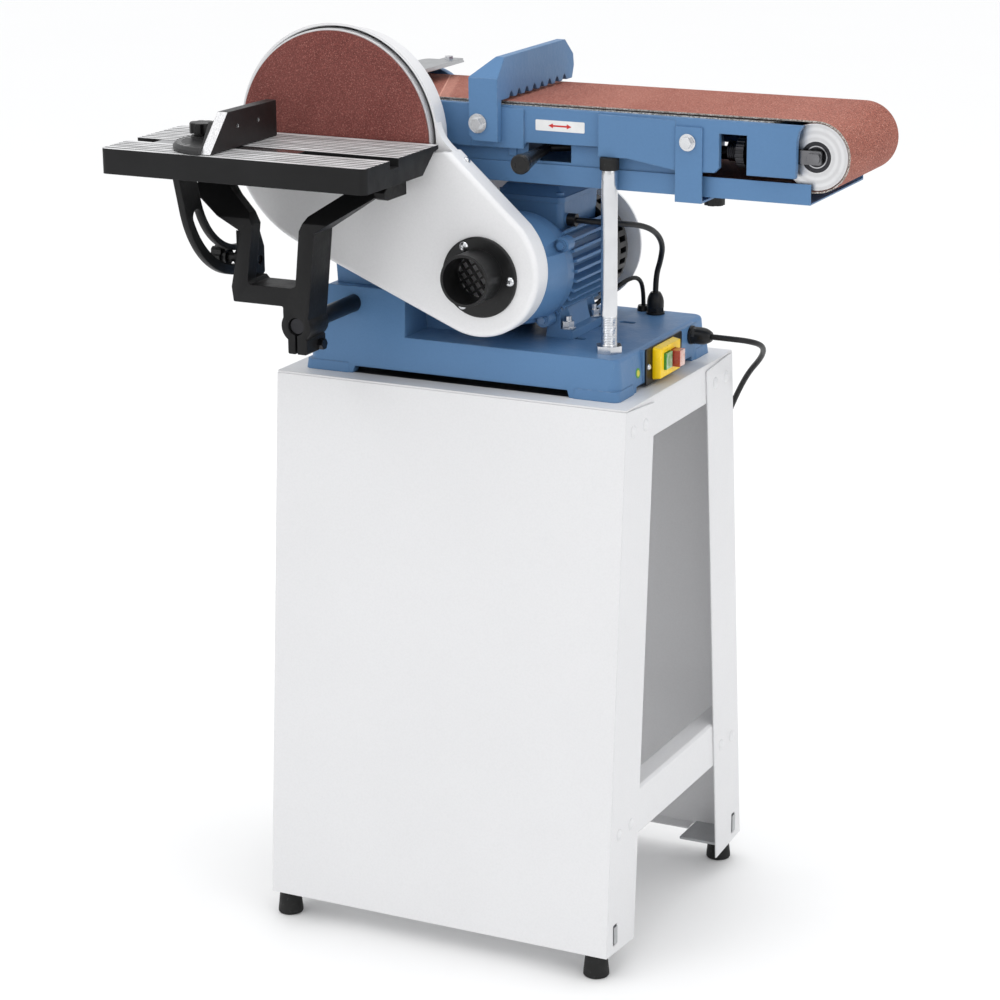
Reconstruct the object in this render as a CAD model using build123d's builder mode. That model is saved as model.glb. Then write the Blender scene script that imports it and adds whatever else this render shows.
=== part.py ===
from build123d import *
import os
from math import sin, cos, tan, radians, pi, sqrt, atan2, degrees

os.makedirs("parts", exist_ok=True)

# ---------------------------------------------------------------- frame
# Millimetres, +Z up, +X along the sanding belt towards the idler drum,
# +Y away from the disc.  All stations below are measured from the middle of
# the stand; OX and OY carry that point to the middle of the whole machine.
OX, OY = -47.0, 52.8

# ---------------------------------------------------------------- stand
STAND_W = 423.0          # outside width along X
STAND_TOP_Y = 147.5      # half depth at the top
STAND_FOOT_Y = 195.5     # half depth at the bottom edge
STAND_H = 638.0          # top of the stand
STAND_Z0 = 30.0          # lower edge of the sheet panels
SHEET = 2.0              # panel gauge
FLANGE = 75.0            # side flange of the panels
TOP_DROP = 44.0          # down-turned side of the top plate

# ---------------------------------------------------------------- base and bracket
BASE_X0, BASE_X1 = -188.0, 190.0
BASE_Y0, BASE_Y1 = -123.0, 129.0
BASE_H = 44.0
BASE_TOP = STAND_H + BASE_H
TOWER_X0, TOWER_X1 = -176.0, -64.0
TOWER_Y0, TOWER_Y1 = -89.0, 112.0
TOWER_TOP = 731.0

# ---------------------------------------------------------------- spindle
AX, AZ = -137.4, 900.8   # disc and drive drum axis
DISC_R = 114.0           # abrasive disc
PLATE_R = 116.0          # disc plate
DISC_FACE = -137.0       # front of the abrasive
SHAFT_R = 10.0
HUB_R = 30.0             # bearing hub that the arm swings on
BRG_R = 23.5

# ---------------------------------------------------------------- belt and arm
BELT_Y0, BELT_Y1 = -68.0, 82.0
BELT_T = 1.5
DRUM_R = 37.5            # drive drum
IX, IZ = 385.0, 904.6    # idler axis
IDLER_R = 35.2
GAP = 0.35               # belt to drum
WALL_Y = -80.0           # front face of the arm

# ---------------------------------------------------------------- motor
MX, MZ = 45.0, 758.5
MOTOR_R = 60.0
SHIELD_A, SHIELD_R = (30, 120, 210, 300), 61.5   # end shield screws

# ---------------------------------------------------------------- table
TAB_X0, TAB_X1 = -328.0, -10.0
TAB_Y0, TAB_Y1 = -301.0, -140.0
TAB_Z = 902.0
TAB_SKIRT = 27.0
TAB_T = 8.0
TILT_Y, TILT_Z = -168.0, 870.0
QUAD_X = -240.0
SLOT_R = 101.0           # radius of the arc slot
SLOT_Y, SLOT_W, SLOT_D = -238.0, 19.0, 9.5
ROD_X, ROD_Z, ROD_R = -135.0, 713.0, 9.5
YOKE_Y0, YOKE_Y1 = -234.0, -194.0
LOCK_A = radians(80.5)
LOCK_Y = TILT_Y - SLOT_R * cos(LOCK_A)
LOCK_Z = TILT_Z - SLOT_R * sin(LOCK_A)


# planes: TP looks down on XY at a height, FR is an XZ sheet whose normal
# points to the front (-Y), SD is a YZ sheet whose normal points along +X
def TP(z):
    return Plane(origin=(OX, OY, z))


def FR(y):
    return Plane(origin=(OX, OY + y, 0), x_dir=(1, 0, 0), z_dir=(0, -1, 0))


def SD(x):
    return Plane(origin=(OX + x, OY, 0), x_dir=(0, 1, 0), z_dir=(1, 0, 0))


def rect(u0, v0, u1, v1, mode=Mode.ADD):
    with Locations(((u0 + u1) / 2, (v0 + v1) / 2)):
        Rectangle(abs(u1 - u0), abs(v1 - v0), mode=mode)


def rrect(u0, v0, u1, v1, r, mode=Mode.ADD):
    with Locations(((u0 + u1) / 2, (v0 + v1) / 2)):
        RectangleRounded(abs(u1 - u0), abs(v1 - v0), r, mode=mode)


def circ(u, v, r, mode=Mode.ADD):
    with Locations((u, v)):
        Circle(r, mode=mode)


def hexa(u, v, r, mode=Mode.ADD):
    with Locations((u, v)):
        RegularPolygon(r, 6, mode=mode)


def poly(pts, mode=Mode.ADD):
    with BuildLine() as ln:
        Polyline(*pts, close=True)
    make_face(ln.edges(), mode=mode)


def hull(c1, r1, c2, r2, mode=Mode.ADD):
    # belt-shaped outline round two circles
    dx, dz = c2[0] - c1[0], c2[1] - c1[1]
    d = sqrt(dx * dx + dz * dz)
    a = atan2(dz, dx)
    b = atan2(sqrt(d * d - (r1 - r2) ** 2), r1 - r2)
    p = []
    for s in (1, -1):
        n = (cos(a + s * b), sin(a + s * b))
        p.append(((c1[0] + r1 * n[0], c1[1] + r1 * n[1]), (c2[0] + r2 * n[0], c2[1] + r2 * n[1])))
    far1 = (c1[0] - r1 * cos(a), c1[1] - r1 * sin(a))
    far2 = (c2[0] + r2 * cos(a), c2[1] + r2 * sin(a))
    with BuildLine() as ln:
        Line(p[0][0], p[0][1])
        ThreePointArc(p[0][1], far2, p[1][1])
        Line(p[1][1], p[1][0])
        ThreePointArc(p[1][0], far1, p[0][0])
    make_face(ln.edges(), mode=mode)


# ================================================================ STAND
SLOPE = sqrt((STAND_FOOT_Y - STAND_TOP_Y) ** 2 + (STAND_H - SHEET - STAND_Z0) ** 2)
VY = (STAND_FOOT_Y - STAND_TOP_Y) / SLOPE
VZ = (STAND_H - SHEET - STAND_Z0) / SLOPE
HALF = STAND_W / 2


def panel_plane(s):
    # outer face of a panel, s = -1 front, +1 rear; local x along +X (front)
    return Plane(origin=(OX, OY + s * STAND_FOOT_Y, STAND_Z0), x_dir=(-s, 0, 0), z_dir=(0, s * VZ, VY))


def sheet_panel(s):
    pp = panel_plane(s)
    with BuildSketch(pp) as sk:
        rect(-HALF, 0, HALF, SLOPE)
    extrude(sk.sketch, amount=-SHEET)
    with BuildSketch(pp) as sk:
        rect(-HALF, 0, -HALF + SHEET, SLOPE)
        rect(HALF - SHEET, 0, HALF, SLOPE)
    extrude(sk.sketch, amount=-FLANGE)
    # stiffening return along the bottom edge
    with BuildSketch(pp) as sk:
        rect(-HALF + 60, 0, HALF - 60, SHEET)
    extrude(sk.sketch, amount=-18)
    # bracket slots in both flanges close to the floor
    with BuildSketch(Plane(origin=pp.origin - Vector(HALF + 5, 0, 0), x_dir=(0, 1, 0), z_dir=(1, 0, 0))) as sk:
        rect(-s * 18, 8, -s * 28, 32)
    extrude(sk.sketch, amount=STAND_W + 10, mode=Mode.SUBTRACT)


with BuildPart() as stand_front_panel:
    sheet_panel(-1)
stand_front_panel.part.label = "stand_front_panel"
export_step(stand_front_panel.part, "parts/stand_front_panel.step")

with BuildPart() as stand_rear_panel:
    sheet_panel(1)
stand_rear_panel.part.label = "stand_rear_panel"
export_step(stand_rear_panel.part, "parts/stand_rear_panel.step")

with BuildPart() as stand_top_plate:
    with BuildSketch(TP(STAND_H - SHEET)):
        rrect(-HALF, -STAND_TOP_Y, HALF, STAND_TOP_Y, 2.5)
        # cable hole under the hollow base
        circ(60, 60, 16, Mode.SUBTRACT)
        for bx in (-150, 150):
            for by in (-92, 98):
                circ(bx, by, 5.0, Mode.SUBTRACT)
    extrude(amount=SHEET)
    for s in (-1, 1):
        with BuildSketch(SD(s * (HALF - SHEET) - (SHEET if s > 0 else 0))):
            rect(-STAND_TOP_Y + 6, STAND_H - SHEET - TOP_DROP, STAND_TOP_Y - 6, STAND_H - SHEET)
        extrude(amount=SHEET)
stand_top_plate.part.label = "stand_top_plate"
export_step(stand_top_plate.part, "parts/stand_top_plate.step")

with BuildPart() as side_braces:
    for s in (-1, 1):
        xo = s * (HALF - SHEET)
        with BuildSketch(FR(166)):
            poly([(xo, 145), (xo - s * SHEET, 145), (xo - s * SHEET, 199 - SHEET), (xo - s * 24, 199 - SHEET),
                  (xo - s * 24, 199), (xo - s * 3, 199), (xo, 196)])
        extrude(amount=332)
side_braces.part.label = "side_braces"
export_step(side_braces.part, "parts/side_braces.step")

with BuildPart() as foot_brackets:
    for sx in (-1, 1):
        for sy in (-1, 1):
            xo = sx * (HALF - SHEET)
            yp = STAND_FOOT_Y - 6.5
            with BuildSketch(TP(33)):
                rect(xo, sy * yp, xo - sx * 52, sy * (yp - 52))
            extrude(amount=3)
            with BuildSketch(SD(xo if sx < 0 else xo - 3)):
                rect(sy * yp, 36, sy * (yp - 52), 66)
            extrude(amount=3)
            # tongue that shows through the flange slot
            with BuildSketch(SD(xo if sx > 0 else xo - SHEET - 1.0)):
                rect(sy * (STAND_FOOT_Y - 19), 40, sy * (STAND_FOOT_Y - 27), 60)
            extrude(amount=SHEET + 1.0)
foot_brackets.part.label = "foot_brackets"
export_step(foot_brackets.part, "parts/foot_brackets.step")

FEET = [(fx, fy) for fx in (-199, 190) for fy in (-175, 180)]
with BuildPart() as rubber_feet:
    for fx, fy in FEET:
        with BuildSketch(Plane(origin=(OX + fx, OY + fy, 0), x_dir=(1, 0, 0), z_dir=(0, -1, 0))):
            poly([(0, 0), (13.6, 0), (14.4, 1.2), (14.4, 4), (12.2, 24), (11.4, 26), (6, 26), (6, 33), (0, 33)])
        revolve(axis=Axis((OX + fx, OY + fy, 0), (0, 0, 1)))
rubber_feet.part.label = "rubber_feet"
export_step(rubber_feet.part, "parts/rubber_feet.step")


def panel_y(z):
    return STAND_FOOT_Y - (STAND_FOOT_Y - STAND_TOP_Y) * (z - STAND_Z0) / (STAND_H - SHEET - STAND_Z0)


def dome(plane, u, v, r, h, shank=0.0, rs=2.5):
    # low domed head standing on a plane, with its shank behind
    o = plane.from_local_coords(Vector(u, v, 0))
    with BuildSketch(Plane(origin=o, x_dir=plane.x_dir, z_dir=plane.x_dir.cross(plane.z_dir))) as sk:
        with BuildLine():
            Line((0, -shank), (0, h))
            ThreePointArc((0, h), (r * 0.75, h * 0.62), (r, 0.0))
            if shank > 0:
                Polyline((r, 0), (rs, 0), (rs, -shank), (0, -shank))
            else:
                Line((r, 0), (0, 0))
        make_face()
    revolve(sk.sketch, axis=Axis(tuple(o), tuple(plane.z_dir)))


# ================================================================ BASE
SLOTS = [(100.0, -40.0), (100.0, 25.0), (-10.0, -40.0), (-10.0, 25.0)]
STUDS = [(94.0, -40.0), (94.0, 25.0), (-4.0, -40.0), (-4.0, 25.0)]
POST_X, POST_Y, POST_R = 162.0, -83.0, 8.8
BASE_BOLTS = [(bx, by) for bx in (-150, 150) for by in (-92, 98)]
GLANDS = [(135.0, 104.0)]
GROMMET = (116.0, 114.0)

with BuildPart() as base_casting:
    with BuildSketch(TP(STAND_H)):
        rrect(BASE_X0, BASE_Y0, BASE_X1, BASE_Y1, 16)
    extrude(amount=BASE_H, taper=5)
    fillet(base_casting.faces().sort_by(Axis.Z)[-1].edges(), 5)
    # tower under the shaft bracket
    with BuildSketch(TP(STAND_H)):
        rrect(TOWER_X0, BASE_Y0, TOWER_X1, TOWER_Y1 + 4, 10)
    extrude(amount=TOWER_TOP - STAND_H, taper=5)
    # one leaning front face for base and tower
    with BuildSketch(SD(BASE_X0 - 5)):
        poly([(BASE_Y0 - 8, STAND_H + 10), (BASE_Y0 + 1, STAND_H + 10), (BASE_Y0 + 19, TOWER_TOP + 3), (BASE_Y0 - 8, TOWER_TOP + 3)])
    extrude(amount=BASE_X1 - BASE_X0 + 10, mode=Mode.SUBTRACT)
    # gussets from the tower down to the deck
    for gy in (-62, 78):
        with BuildSketch(FR(gy + 9)):
            poly([(TOWER_X1 - 16, TOWER_TOP - 8), (TOWER_X1 - 16, BASE_TOP - 4), (TOWER_X1 + 46, BASE_TOP - 4), (TOWER_X1 - 7, TOWER_TOP - 8)])
        extrude(amount=9)
    # corner pads that the casting stands on
    for px0, px1 in ((BASE_X0 - 1.5, -130), (134, BASE_X1 + 1.5)):
        for py0, py1 in ((BASE_Y0 - 1.5, BASE_Y0 + 46), (BASE_Y1 - 46, BASE_Y1 + 1.5)):
            with BuildSketch(TP(STAND_H)):
                rrect(px0, py0, px1, py1, 8)
            extrude(amount=11, taper=8)
    # flat seat for the switch
    with BuildSketch(SD(BASE_X1 - 16)):
        rrect(-56, STAND_H + 1, 92, BASE_TOP - 1.5, 3)
    extrude(amount=16)
    # hollow underneath
    with BuildSketch(TP(STAND_H)):
        rrect(BASE_X0 + 12, BASE_Y0 + 12, BASE_X1 - 12, BASE_Y1 - 12, 10)
    extrude(amount=BASE_H - 9, taper=5, mode=Mode.SUBTRACT)
    with BuildSketch(TP(STAND_H)):
        rrect(TOWER_X0 + 12, TOWER_Y0 + 6, TOWER_X1 - 12, TOWER_Y1 - 9, 8)
    extrude(amount=TOWER_TOP - STAND_H - 10, taper=4, mode=Mode.SUBTRACT)
    # long gaps between the pads
    with BuildSketch(FR(BASE_Y1 + 5)):
        poly([(-130, STAND_H - 1), (-127, STAND_H + 8), (131, STAND_H + 8), (134, STAND_H - 1)])
    extrude(amount=BASE_Y1 - BASE_Y0 + 10, mode=Mode.SUBTRACT)
    with BuildSketch(SD(BASE_X0 - 5)):
        poly([(-74, STAND_H - 1), (-72, STAND_H + 6), (78, STAND_H + 6), (80, STAND_H - 1)])
    extrude(amount=BASE_X1 - BASE_X0 + 10, mode=Mode.SUBTRACT)
    # inner bosses for the hold-down bolts
    for bx, by in BASE_BOLTS:
        with BuildSketch(TP(STAND_H)):
            circ(bx, by, 13)
        extrude(amount=BASE_H - 4)
        with BuildSketch(TP(STAND_H - 1)):
            circ(bx, by, 4.3)
        extrude(amount=BASE_H - 8, mode=Mode.SUBTRACT)
    # motor slots, post hole, gland holes
    with BuildSketch(TP(BASE_TOP - 14)):
        for sx, sy in SLOTS:
            with Locations((sx, sy)):
                SlotOverall(30, 9)
        with Locations((123.5, 51.5)):
            SlotOverall(20, 9)
        circ(POST_X, POST_Y, 6.0)
        for gx, gy in GLANDS:
            circ(gx, gy, 6.0)
        circ(GROMMET[0], GROMMET[1], 5.0)
    extrude(amount=20, mode=Mode.SUBTRACT)
    # support rod socket, switch opening, mains gland hole
    with BuildSketch(FR(-60)):
        circ(ROD_X, ROD_Z, ROD_R)
    extrude(amount=60, mode=Mode.SUBTRACT)
    with BuildSketch(SD(BASE_X1 - 26)):
        rect(-30, 649, 14, 675)
        circ(76, 669, 6.0)
    extrude(amount=40, mode=Mode.SUBTRACT)
base_casting.part.label = "base_casting"
export_step(base_casting.part, "parts/base_casting.step")

with BuildPart() as table_rod:
    with BuildSketch(FR(-66)):
        circ(ROD_X, ROD_Z, ROD_R)
    extrude(amount=165)
    chamfer(table_rod.faces().sort_by(Axis.Y)[0].edges(), 1.2)
table_rod.part.label = "table_rod"
export_step(table_rod.part, "parts/table_rod.step")

# bracket that carries the spindle: two uprights on a foot, bearing hubs inside
FRONT_WALL = (-92.0, -81.0)
REAR_WALL = (96.0, 106.0)
with BuildPart() as shaft_bracket:
    with BuildSketch(TP(TOWER_TOP)):
        rrect(TOWER_X0 + 11, -92, TOWER_X1 - 11, 106, 6)
    extrude(amount=14)
    for y0, y1 in (FRONT_WALL, REAR_WALL):
        with BuildSketch(FR(y1)):
            poly([(TOWER_X0 + 13, TOWER_TOP), (AX - 36, AZ), (AX + 36, AZ), (TOWER_X1 - 13, TOWER_TOP)])
            circ(AX, AZ, 40)
        extrude(amount=y1 - y0)
    # stiffening ribs on the inner side of the uprights, low enough to clear the swinging arm
    with BuildSketch(SD(AX - 6)):
        poly([(-82, TOWER_TOP + 10), (-40, TOWER_TOP + 10), (-82, TOWER_TOP + 90)])
        poly([(97, TOWER_TOP + 10), (55, TOWER_TOP + 10), (97, TOWER_TOP + 90)])
    extrude(amount=12)
    with BuildSketch(FR(-71)):
        circ(AX, AZ, HUB_R)
    extrude(amount=21)
    with BuildSketch(FR(107)):
        circ(AX, AZ, HUB_R)
    extrude(amount=22)
    with BuildSketch(FR(120)):
        circ(AX, AZ, 14)
    extrude(amount=240, mode=Mode.SUBTRACT)
    with BuildSketch(FR(-60)):
        circ(AX, AZ, BRG_R)
    extrude(amount=27, mode=Mode.SUBTRACT)
    with BuildSketch(FR(101)):
        circ(AX, AZ, BRG_R)
    extrude(amount=31, mode=Mode.SUBTRACT)
shaft_bracket.part.label = "shaft_bracket"
export_step(shaft_bracket.part, "parts/shaft_bracket.step")

with BuildPart() as shaft_bearings:
    for yb in (-73.0, 101.0):
        with BuildSketch(FR(yb)):
            circ(AX, AZ, BRG_R)
            circ(AX, AZ, SHAFT_R + 0.05, Mode.SUBTRACT)
        extrude(amount=14)
shaft_bearings.part.label = "shaft_bearings"
export_step(shaft_bearings.part, "parts/shaft_bearings.step")

# ================================================================ DISC HOUSING
CA, RA = (AX, AZ), 125.0
CB, RB = (33.5, 770.5), 69.9
HOUSE_Y0, HOUSE_Y1 = -128.0, -92.4
CHUTE_Y1 = -116.0        # back of the chute
RIM_R, RIM_BACK_R = 121.0, 113.5   # round rim at its front and back
COVER_Y = -142.5         # front of the lower cover
COVER_TOP = 894.0
PORT = (39.0, 764.5)
PORT_TUBE = (39.0, 767.5)

KX, KZ = -2.0, 896.0     # where the round rim meets the sloping side


def house(d, low_only=False):
    # outline of the housing pulled in by d: round the disc, then a straight
    # side down to the small end
    a = atan2(CB[1] - KZ, CB[0] - KX)
    dist = sqrt((CB[0] - KX) ** 2 + (CB[1] - KZ) ** 2)
    t = a + atan2(RB, sqrt(dist * dist - RB * RB))
    tx, tz = cos(t), sin(t)
    nx, nz = -sin(t), cos(t)
    k = (KX - d * nx, KZ - d * nz)
    hull(CA, RA - d, CB, RB - d)
    poly([(k[0] - 400 * tx, k[1] - 400 * tz), (k[0] + 400 * tx, k[1] + 400 * tz),
          (k[0] + 400 * tx + 500 * nx, k[1] + 400 * tz + 500 * nz), (k[0] - 400 * tx + 500 * nx, k[1] - 400 * tz + 500 * nz)], Mode.SUBTRACT)
    circ(CA[0], CA[1], RA - d)
    if low_only:
        rect(AX - 300, COVER_TOP, AX + 500, AZ + 300, Mode.SUBTRACT)


def blend(deg=10.0):
    # web that runs the round rim into the sloping side above the cover
    t = atan2(CB[1] - KZ, CB[0] - KX) + atan2(RB, sqrt((CB[0] - KX) ** 2 + (CB[1] - KZ) ** 2 - RB * RB))
    nx, nz = -sin(t), cos(t)
    a = radians(deg)
    g = cos(a - atan2(nz, nx))
    rho = (RIM_R * g - ((KX - AX) * nx + (KZ - AZ) * nz)) / (1 - g)
    fx, fz = AX + (RIM_R + rho) * cos(a), AZ + (RIM_R + rho) * sin(a)
    b0, b1 = a + pi, atan2(-nz, -nx) + 2 * pi
    arc = [(fx + rho * cos(b0 + (b1 - b0) * k / 14), fz + rho * sin(b0 + (b1 - b0) * k / 14)) for k in range(15)]
    poly(arc + [(KX + 4.5 * cos(t), KZ + 4.5 * sin(t)), (KX - 20, 890), (AX + 110 * cos(a), AZ + 110 * sin(a))])


with BuildPart() as disc_housing:
    # shallow chute round the lower half
    with BuildSketch(FR(CHUTE_Y1)):
        house(0, True)
        blend()
    extrude(amount=CHUTE_Y1 - HOUSE_Y0)
    # drum that widens towards the disc
    with BuildSketch(FR(HOUSE_Y1)):
        circ(AX, AZ, RIM_BACK_R)
    with BuildSketch(FR(HOUSE_Y0)):
        circ(AX, AZ, RIM_R)
    loft()
    # open lower half that the cover closes
    with BuildSketch(FR(CHUTE_Y1 - 2.0)):
        house(2.5)
        rect(AX - 300, COVER_TOP - 4, AX + 500, AZ + 300, Mode.SUBTRACT)
    extrude(amount=30, mode=Mode.SUBTRACT)
    # disc opening
    with BuildSketch(FR(HOUSE_Y1 - 2.0)):
        circ(AX, AZ, RIM_BACK_R - 2.4)
    with BuildSketch(FR(HOUSE_Y0 - 1.0)):
        circ(AX, AZ, RIM_R - 2.4)
    loft(mode=Mode.SUBTRACT)
    with BuildSketch(FR(0)):
        circ(AX, AZ, 27)
    extrude(amount=120, mode=Mode.SUBTRACT)
disc_housing.part.label = "disc_housing"
export_step(disc_housing.part, "parts/disc_housing.step")

with BuildPart() as disc_cover:
    with BuildSketch(FR(-116)):
        house(-2.6, True)
    extrude(amount=-116 - COVER_Y)
    front_edges = disc_cover.faces().sort_by(Axis.Y)[0].edges()
    fillet(front_edges.filter_by(lambda e: e.center().Z < COVER_TOP - 1), 6)
    with BuildSketch(FR(-115)):
        house(-0.35)
        rect(AX - 300, COVER_TOP + 5, AX + 500, AZ + 300, Mode.SUBTRACT)
    extrude(amount=-115 - (HOUSE_Y0 - 5), mode=Mode.SUBTRACT)
    with BuildSketch(FR(HOUSE_Y0 + 1)):
        house(4.5)
        rect(AX - 300, COVER_TOP + 5, AX + 500, AZ + 300, Mode.SUBTRACT)
    extrude(amount=HOUSE_Y0 + 1 - COVER_Y - 2.5, mode=Mode.SUBTRACT)
    with BuildSketch(FR(HOUSE_Y0)):
        circ(PORT_TUBE[0], PORT_TUBE[1], 25)
    extrude(amount=40, mode=Mode.SUBTRACT)
disc_cover.part.label = "disc_cover"
export_step(disc_cover.part, "parts/disc_cover.step")

PORT_SCREWS = [(PORT[0] + 36.5 * cos(radians(a)), PORT[1] + 36.5 * sin(radians(a))) for a in (118, -2, 238)]
with BuildPart() as dust_port:
    with BuildSketch(FR(COVER_Y)):
        circ(PORT[0], PORT[1], 43.5)
    extrude(amount=4)
    fillet(dust_port.faces().sort_by(Axis.Y)[0].edges(), 1.5)
    with BuildSketch(FR(COVER_Y - 4)):
        circ(PORT_TUBE[0], PORT_TUBE[1], 28)
    extrude(amount=34)
    with BuildSketch(FR(COVER_Y + 1)):
        circ(PORT_TUBE[0], PORT_TUBE[1], 25)
    extrude(amount=60, mode=Mode.SUBTRACT)
    # finger grille at the root of the tube
    with BuildSketch(FR(COVER_Y)):
        with Locations((PORT_TUBE[0], PORT_TUBE[1])):
            Circle(26)
            with Locations(Location((0, 0), 35)):
                with GridLocations(8.2, 8.2, 7, 7):
                    Rectangle(6.2, 6.2, mode=Mode.SUBTRACT)
    extrude(amount=3)
dust_port.part.label = "dust_port"
export_step(dust_port.part, "parts/dust_port.step")

# ================================================================ MOTOR
with BuildPart() as motor_body:
    with BuildSketch(FR(54)):
        circ(MX, MZ, 54)
        for k in range(36):
            a = k * 10.0
            if 45 < a < 135 or 236 < a < 304:
                continue
            with Locations(Location((MX + 58 * cos(radians(a)), MZ + 58 * sin(radians(a))), a)):
                Rectangle(14, 3.2)
    extrude(amount=104)
    # feet
    for s in (-1, 1):
        with BuildSketch(FR(35)):
            poly([(MX + s * 26, BASE_TOP), (MX + s * 58, BASE_TOP), (MX + s * 58, BASE_TOP + 9), (MX + s * 50, BASE_TOP + 11),
                  (MX + s * 42, MZ - 36), (MX + s * 30, MZ - 40)])
        extrude(amount=83)
    with BuildSketch(TP(BASE_TOP - 1)):
        for sx, sy in STUDS:
            circ(sx, sy, 4.2)
    extrude(amount=14, mode=Mode.SUBTRACT)
    with BuildSketch(TP(BASE_TOP + 10.5)):
        for sx, sy in STUDS:
            circ(sx, sy, 9.5)
    extrude(amount=20, mode=Mode.SUBTRACT)
    # stator bore
    with BuildSketch(FR(54)):
        circ(MX, MZ, 44)
    extrude(amount=104, mode=Mode.SUBTRACT)
motor_body.part.label = "motor_body"
export_step(motor_body.part, "parts/motor_body.step")

with BuildPart() as motor_end_shields:
    # drive-side shield towards the disc housing
    with BuildSketch(FR(-50)):
        circ(MX, MZ, MOTOR_R + 1)
    extrude(amount=16)
    with BuildSketch(FR(-66)):
        circ(MX, MZ, MOTOR_R + 1)
    with BuildSketch(FR(-112)):
        circ(MX, MZ, MOTOR_R - 7)
    loft()
    with BuildSketch(FR(-72)):
        circ(MX, MZ, 49)
    extrude(amount=60, mode=Mode.SUBTRACT)
    with BuildSketch(FR(-50)):
        for a in SHIELD_A:
            circ(MX + SHIELD_R * cos(radians(a)), MZ + SHIELD_R * sin(radians(a)), 8.5)
    extrude(amount=16)
    # spot faces for the screw heads
    with BuildSketch(FR(-66)):
        for a in SHIELD_A:
            circ(MX + SHIELD_R * cos(radians(a)), MZ + SHIELD_R * sin(radians(a)), 7.6)
    extrude(amount=50, mode=Mode.SUBTRACT)
    with BuildSketch(FR(-50)):
        circ(MX, MZ, 44)
    extrude(amount=8, mode=Mode.SUBTRACT)
    with BuildSketch(FR(-40)):
        circ(MX, MZ, 7.05)
    extrude(amount=40, mode=Mode.SUBTRACT)
    # vented shield at the pulley end
    with BuildSketch(FR(90)):
        circ(MX, MZ, 64)
    extrude(amount=36)
    fillet(motor_end_shields.faces().sort_by(Axis.Y)[-1].edges(), 6)
    with BuildSketch(FR(86)):
        circ(MX, MZ, 59.5)
    extrude(amount=33, mode=Mode.SUBTRACT)
    with BuildSketch(FR(120)):
        circ(MX, MZ, 7.05)
    extrude(amount=40, mode=Mode.SUBTRACT)
    for k in range(32):
        a = k * 360 / 32
        with BuildSketch(Plane(origin=(OX + MX, OY + 73, MZ), x_dir=(0, 1, 0), z_dir=(cos(radians(a)), 0, sin(radians(a))))):
            Rectangle(15, 6.4)
        extrude(amount=80, mode=Mode.SUBTRACT)
motor_end_shields.part.label = "motor_end_shields"
export_step(motor_end_shields.part, "parts/motor_end_shields.step")

TB_Z0 = 798.0
CORD_R_M = 3.2           # motor lead
TB_Y0, TB_Y1 = -35.0, 62.0
TB_YM = (TB_Y0 + TB_Y1) / 2
with BuildPart() as terminal_box:
    with BuildSketch(TP(TB_Z0)):
        rrect(MX - 38, TB_Y0 + 2, MX + 38, TB_Y1 - 2, 6)
    extrude(amount=30, taper=-3)
    with BuildSketch(TP(TB_Z0 + 30)):
        rrect(MX - 41, TB_Y0 - 1, MX + 41, TB_Y1 + 1, 7)
    extrude(amount=6)
    with BuildSketch(TP(TB_Z0 + 36)):
        rrect(MX - 40, TB_Y0, MX + 40, TB_Y1, 6)
    extrude(amount=11, taper=40)
    # lid screw bosses in the four corners
    with BuildSketch(TP(TB_Z0 + 36)):
        for sx in (-1, 1):
            for sy in (-1, 1):
                circ(MX + sx * 34, TB_YM + sy * 42, 4.5)
    extrude(amount=5)
    # cable entry
    with BuildSketch(SD(MX + 34)):
        circ(-20, TB_Z0 + 10, 7)
    extrude(amount=16)
    with BuildSketch(SD(MX + 44)):
        circ(-20, TB_Z0 + 10, CORD_R_M)
    extrude(amount=8, mode=Mode.SUBTRACT)
    # hollow, and the curved underside that straddles the motor
    with BuildSketch(TP(TB_Z0 - 1)):
        rrect(MX - 33, TB_Y0 + 7, MX + 33, TB_Y1 - 7, 4)
    extrude(amount=31, mode=Mode.SUBTRACT)
    with BuildSketch(FR(100)):
        circ(MX, MZ, 54.1)
    extrude(amount=46.0, mode=Mode.SUBTRACT)
    with BuildSketch(FR(60)):
        circ(MX, MZ, 54.0)
        for k in (4, 14):
            a = k * 10.0
            with Locations(Location((MX + 58 * cos(radians(a)), MZ + 58 * sin(radians(a))), a)):
                Rectangle(14.8, 4.0)
    extrude(amount=115, mode=Mode.SUBTRACT)
    with BuildSketch(FR(100)):
        circ(MX, MZ, 64.4)
    extrude(amount=46.0, mode=Mode.SUBTRACT)
terminal_box.part.label = "terminal_box"
export_step(terminal_box.part, "parts/terminal_box.step")

# rotor with its shaft and cooling fan
PULLEY_Y = 129.0         # middle of the drive belt
with BuildPart() as motor_rotor:
    with BuildSketch(FR(140.5)):
        circ(MX, MZ, 7.0)
    extrude(amount=202.5)
    with BuildSketch(FR(46)):
        circ(MX, MZ, 40)
    extrude(amount=86)
    with BuildSketch(FR(80)):
        circ(MX, MZ, 18)
    extrude(amount=22)
    with BuildSketch(FR(80)):
        for k in range(8):
            a = k * 45.0
            with Locations(Location((MX + 32 * cos(radians(a)), MZ + 32 * sin(radians(a))), a)):
                Rectangle(36, 2.5)
    extrude(amount=20)
motor_rotor.part.label = "motor_rotor"
export_step(motor_rotor.part, "parts/motor_rotor.step")

R_MP, R_DP = 19.0, 21.0   # outside radius of the belt on each pulley


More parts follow.
